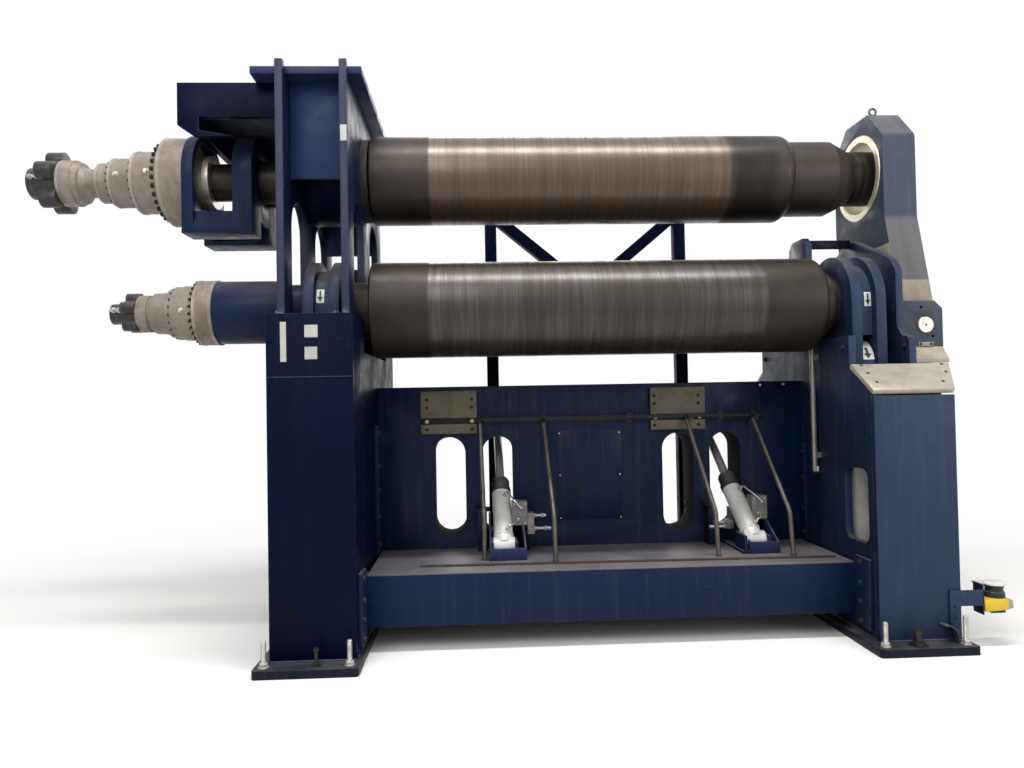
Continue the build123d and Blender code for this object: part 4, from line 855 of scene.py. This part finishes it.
with making("scannerBelly", "blackPlastic", "black_paint") as bm:
    block(bm, *scanner["belly"], 0.005)
with making("scannerVisor", "plateWhite", "grey_paint") as bm:
    lathe(bm, scanner["visor"], scanner["axis"], upward, 40)
    block(bm, *scanner["visorBlock"], 0.003)

# arrow plates on the arms and the painted mark on the right rod eye; blank plates on the columns


def plateOn(bm, node, x, z, thick=0.0016, steps=12):
    # thin plate that lies on the surface behind it, following its curve upwards
    rows = []
    for step in range(steps + 1):
        level = z[0] + (z[1] - z[0]) * step / steps
        hits = [onto(node, (at, -3.0, level), (0, 1, 0))[0].y for at in (x[0], (x[0] + x[1]) / 2, x[1])]
        rows.append((min(hits), level))
    front = [(y - thick, level) for y, level in rows]
    prism(bm, rows + front[::-1], x[0], x[1], "X", 0.0004)
    return front


def faceAt(front, level):
    for (y0, z0), (y1, z1) in zip(front, front[1:]):
        if z0 <= level <= z1:
            return y0 + (y1 - y0) * (level - z0) / (z1 - z0)
    return front[-1][0]


def arrowOn(bm, front, x, z):
    # arrow that points down, just above the plate; both parts follow the curve of the plate
    middle, half = (x[0] + x[1]) / 2, (x[1] - x[0]) / 2
    shaft = [(0.90 - 0.46 * step / 8, 0.25) for step in range(9)]
    head = [(0.45 - 0.37 * step / 8, 0.72 * (1 - step / 8) + 0.01) for step in range(9)]
    for rows in (shaft, head):
        rows = [(z[0] + (z[1] - z[0]) * share, half * width) for share, width in rows]
        corners = ((-1, 0.0002), (1, 0.0002), (1, -0.0011), (-1, -0.0011))
        loft(bm, [[(middle + across * width, faceAt(front, level) + off, level) for across, off in corners]
                  for level, width in rows])


arrowPlates = (("front_arm_left", (-1.931, -1.879), (2.280, 2.374)),
               ("front_arm_right", (1.803, 1.850), (2.211, 2.309)))
eyeMark = dict(node="front_lift_rods", x=(1.763, 1.847), z=(1.842, 1.984), arrow=(1.843, 1.935), thick=0.0010)
with (making("arrowMarks", "blackPlastic", "black_paint", body="carriage") as black,
      making("eyePlate", "plateWhite", "white_paint", body="carriage") as mark,
      making("arrowPlates", "plateWhite", "white_paint", body="carriage") as white):
    for node, x, z in arrowPlates:
        arrowOn(black, plateOn(white, node, x, z), x, z)
    front = plateOn(mark, eyeMark["node"], eyeMark["x"], eyeMark["z"], eyeMark["thick"])
    arrowOn(black, front, eyeMark["x"], eyeMark["arrow"])

blankPlates = (("left_covers", (-2.062, -2.026), (1.868, 2.112), 0.002),
               ("left_covers", (-1.915, -1.835), (2.016, 2.092), 0.002),
               ("left_covers", (-1.915, -1.839), (1.882, 1.958), 0.002),
               ("left_inner_plate", (-1.731, -1.689), (3.318, 3.423), 0.001))
with making("blankPlates", "stickerGrey", "white_paint") as bm:
    for plate in blankPlates:
        plateOn(bm, *plate)
columnSeam = dict(x=(-2.145, -1.63), y=(1.07, 1.0715), z=(1.7725, 1.7775))
with making("columnSeam", "liftBlue", "blue_paint") as bm:
    for side in bothSides:
        low, high = ((x, side * y, z) for x, y, z in zip(*columnSeam.values()))
        block(bm, low, high, 0.0006, 1)

# fillets where the tall plates stand on the column
plateFeet = dict(z=2.1645, leg=0.026, y=(0.72, 1.025), thick=0.0008, edges=((-2.10, 1), (-1.735, -1), (-1.685, 1)))
with making("plateFeet", "plateEdge", "blue_paint") as bm:
    z, leg = plateFeet["z"], plateFeet["leg"]
    for (x, out), side in product(plateFeet["edges"], bothSides):
        start, end = (side * y for y in plateFeet["y"])
        foot = x + out * leg
        prism(bm, [(x, start), (foot, start), (foot, end), (x, end)], z, z + plateFeet["thick"], "Z")
        prism(bm, [(x, z), (foot, z), (x, z + leg)], start, end, "Y")

# pivot of the drop end, its ledge, bolts of the right column, eyebolt of the yoke

pivot = dict(x=2.366, z=2.097, y=0.44, ledge=((0.428, 1.94), (0.50, 1.85), (0.50, 1.822), (0.428, 1.822)),
             ledgeX=(2.16, 2.49), keeper=((2.308, 0.428, 1.943), (2.418, 0.436, 1.973)), keeperBolts=(2.324, 2.402))
columnBolts = ((1.625, 0.699, 1.922), (2.04, 0.72, 1.93))
eyebolt = dict(x=2.20, y=-0.10, bar=0.008, ring=0.026, centre=0.046)
with (making("pivotBolts", "darkBolt", "bare_steel") as bolts,
      making("pivotKeepers", "yokeBlue", "blue_paint") as keeper,
      making("pivotLedges", "beigeBar", "blue_paint") as ledge):
    (x0, y0, z0), (x1, y1, z1) = pivot["keeper"]
    for side in bothSides:
        outward = (0, side, 0)
        prism(ledge, [(side * y, z) for y, z in pivot["ledge"]], *pivot["ledgeX"], "X", 0.002)
        block(keeper, (x0, side * y0, z0), (x1, side * y1, z1), 0.0015)
        for x in pivot["keeperBolts"]:
            hexBolt(bolts, (x, side * y1, (z0 + z1) / 2), outward, 0.008)
        stub(bolts, (pivot["x"], side * pivot["y"], pivot["z"]), outward, (0, 0.0012, 0.0018), 0.008, 0.006, 20)
        for x, y, z in columnBolts:
            hexBolt(bolts, (x, side * y, z), leftward, 0.016)
with making("yokeEyebolt", "dullSteel", "bare_steel", body="drop_end") as bm:
    base = onto("drop_end_yoke", (eyebolt["x"], eyebolt["y"], 5.0), downward)[0]
    lathe(bm, [(-0.001, 0.020), (0.008, 0.020), (0.012, 0.013), (0.022, 0.010)], base, upward, 24)
    centre = base + Vector(upward) * eyebolt["centre"]
    tube(bm, circle(centre, Vector(rightward), Vector(upward), eyebolt["ring"], 24), eyebolt["bar"], closed=True)

# lower end of the position rod
rodFitting = dict(x=1.595, y=-0.30, z=(1.052, 1.086, 1.088), bracket=((1.572, -0.33, 1.036), (1.625, -0.27, 1.050)))
with making("rodFitting", "zinc", "bare_steel") as bm:
    stub(bm, (rodFitting["x"], rodFitting["y"], 0), upward, rodFitting["z"], 0.024, 0.021)
with making("rodBracket", "frameBlue", "blue_paint") as bm:
    block(bm, *rodFitting["bracket"], 0.0015)

# bolts, rims, plugs and ports of the three drives, which lie along X at y and z
# bolts are circles of (x, radius, count, size), rims (start, end, radius), plugs (x, z), motor its end and length

sideBolts = ((-2.773, 0.2145, 28, 0.0105), (-2.795, 0.198, 24, 0.0068), (-2.935, 0.176, 20, 0.0068))
sideRims = ((-2.773, -2.752, 0.2260), (-2.668, -2.646, 0.2260))
drives = {
    "top": dict(body="frame", y=0.0, z=3.278, out=-1,
                bolts=((-3.140, 0.270, 28, 0.0175), (-3.345, 0.206, 20, 0.0095), (-3.520, 0.166, 20, 0.0085)),
                rims=((-3.116, -3.092, 0.3220), (-3.345, -3.322, 0.2300), (-3.520, -3.502, 0.1812),
                      (-3.626, -3.610, 0.1475), (-3.893, -3.876, 0.1695)),
                plugs=((-3.457, 3.296), (-3.22, 3.304)), plug=0.016, motor=(-4.129, 0.117)),
    "front": dict(body="carriage", y=-0.37, z=2.255, out=-1, bolts=sideBolts, rims=sideRims, plugs=((-2.854, 2.255),),
                  plug=0.013, motor=(-3.381, 0.097)),
    "rear": dict(body="frame", y=0.37, z=2.335, out=1, bolts=sideBolts, rims=sideRims, plugs=((-2.854, 2.335),),
                 plug=0.013, motor=(-3.381, 0.097)),
}
for name, drive in drives.items():
    body, y, z, out = drive["body"], drive["y"], drive["z"], drive["out"]
    with making(name + "DriveRims", "rimGrey", "grey_paint", body=body) as bm:
        # flange rims that stand a little proud of the housing
        for start, end, radius in drive["rims"]:
            under = radius - 0.014
            lathe(bm, [(start - 0.0015, under), (start - 0.0015, radius - 0.002), (start + 0.001, radius),
                       (end - 0.002, radius), (end, radius - 0.002), (end, under)], (0, y, z), rightward, 96, True)
    with making(name + "DriveBolts", "blackBolt", "bare_steel", body=body) as bm:
        # heads on the step that faces away from the frame, wherever that step is under the circle
        for x, radius, count, size in drive["bolts"]:
            for step in range(count):
                angle = 2 * math.pi * (step + 0.5) / count
                start = (x - 0.012, y + radius * math.cos(angle), z + radius * math.sin(angle))
                capScrew(bm, onto(name + "_gearbox", start, rightward)[0], leftward, size)
    with making(name + "DrivePlugs", "zinc", "bare_steel", body=body) as bm:
        size = drive["plug"]
        for x, level in drive["plugs"]:
            where, facing = onto(name + "_gearbox", (x, out * 2.0, level), (0, -out, 0))
            stub(bm, where, facing, (-0.004, 0.003, 0.004), size * 1.3, size * 1.2, 24)
            stub(bm, where, facing, (0.003, 0.016, 0.018), size, size * 0.85)
for name, drive in drives.items():
    with making(name + "MotorPorts", "zinc", "bare_steel", body=drive["body"]) as bm:
        end, length = drive["motor"]
        for share in (0.35, 0.75):
            start = (end + length * share, drive["y"] + drive["out"] * 0.6, drive["z"] + 0.02)
            where, outward = onto(name + "_motor", start, (0, -drive["out"], 0))[0], (0, drive["out"], 0)
            stub(bm, where, outward, (-0.003, 0.010, 0.011), 0.019, 0.017, 20)
            stub(bm, where, outward, (0.010, 0.030, 0.032), 0.0165, 0.014)
            lathe(bm, [(0.030, 0.011), (0.042, 0.011), (0.042, 0.007), (0.034, 0.007)], where, outward, 16)
print("details made")

# floor, light and camera

floor = dict(half=30.0, z=-0.0005, colour=(0.80, 0.79, 0.77), shade=(0.77, 0.76, 0.74), near=2.9, far=7.0)


def makeFloor():
    bm = bmesh.new()
    half = floor["half"]
    corners = ((-half, -half), (half, -half), (half, half), (-half, half))
    bm.faces.new([bm.verts.new((x, y, floor["z"])) for x, y in corners])
    piece = addObject("floor", meshFrom("floor", bm))
    t = newMaterial("studioFloor", 0.7, specular=0.1)
    t.put(t.shader["Base Color"], t.mix(t.noise(0.6, 3, 0.5), floor["colour"], floor["shade"]))
    # far from the machine the floor goes over into the white background
    away = t.add("ShaderNodeVectorMath", operation="LENGTH")
    t.put(away.inputs[0], t.place())
    white = t.add("ShaderNodeEmission")
    mix = t.add("ShaderNodeMixShader")
    for socket, value in zip(mix.inputs, (t.ramp(away.outputs["Value"], floor["near"], floor["far"]),
                                          t.tree.nodes["Principled BSDF"].outputs[0], white.outputs[0])):
        t.put(socket, value)
    t.put(t.tree.nodes["Material Output"].inputs["Surface"], mix.outputs[0])
    piece.data.materials.append(t.material)


makeFloor()

lighting = dict(world=0.55, lamps=(
    ("keyLamp", (-3.5, -7.5, 7.5), (0.0, 0.0, 1.6), (5.0, 5.0), 430),
    ("fillLamp", (6.5, -6.5, 4.5), (0.5, 0.0, 1.6), (5.0, 5.0), 260),
    ("backLamp", (0.0, 7.0, 7.0), (0.0, 0.0, 2.0), (5.0, 5.0), 260),
    ("stripLamp", (-0.2, -2.3, 9.0), (-0.2, -0.2, 2.6), (7.0, 0.5), 640)))


def makeLight():
    world = bpy.data.worlds.new("studio")
    bpy.context.scene.world = world
    world.use_nodes = True
    t = nodeTree(world.node_tree)
    light, seen, mix = t.tree.nodes["Background"], t.add("ShaderNodeBackground"), t.add("ShaderNodeMixShader")
    for node, strength in ((light, lighting["world"]), (seen, 1.0)):
        t.put(node.inputs["Color"], (1, 1, 1))
        t.put(node.inputs["Strength"], strength)
    ray = t.add("ShaderNodeLightPath").outputs
    direct = t.plus(ray["Is Camera Ray"], ray["Is Glossy Ray"])
    clear = t.plus(direct, ray["Is Transmission Ray"], clamp=True)
    for socket, value in zip(mix.inputs, (clear, light.outputs[0], seen.outputs[0])):
        t.put(socket, value)
    t.put(t.tree.nodes["World Output"].inputs["Surface"], mix.outputs[0])
    for name, where, target, size, power in lighting["lamps"]:
        data = bpy.data.lights.new(name, "AREA")
        data.energy, data.shape = power, "RECTANGLE"
        data.size, data.size_y = size
        lamp = addObject(name, data)
        lamp.location = where
        lamp.rotation_euler = (Vector(target) - Vector(where)).to_track_quat("-Z", "Y").to_euler()


makeLight()

view = dict(place=(-0.8606, -5.6877, 1.613), yaw=0.0448, pitch=0.0208, roll=-0.0186, focal=750.0 / 1024.0, sensor=36.0)


def makeCamera():
    data = bpy.data.cameras.new("camera")
    data.sensor_width, data.lens, data.clip_end = view["sensor"], view["sensor"] * view["focal"], 200.0
    camera = addObject("camera", data)
    yaw, pitch, roll = view["yaw"], view["pitch"], view["roll"]
    ahead = Vector((math.sin(yaw) * math.cos(pitch), math.cos(yaw) * math.cos(pitch), math.sin(pitch)))
    right = ahead.cross(Vector(upward)).normalized()
    up = right.cross(ahead)
    tiltedRight = math.cos(roll) * right + math.sin(roll) * up
    tiltedUp = -math.sin(roll) * right + math.cos(roll) * up
    turn = Matrix((tiltedRight, tiltedUp, -ahead)).transposed().to_4x4()
    camera.matrix_world = Matrix.Translation(view["place"]) @ turn
    bpy.context.scene.camera = camera


makeCamera()
bpy.context.scene.view_settings.view_transform = "Standard"
print("stage ready")
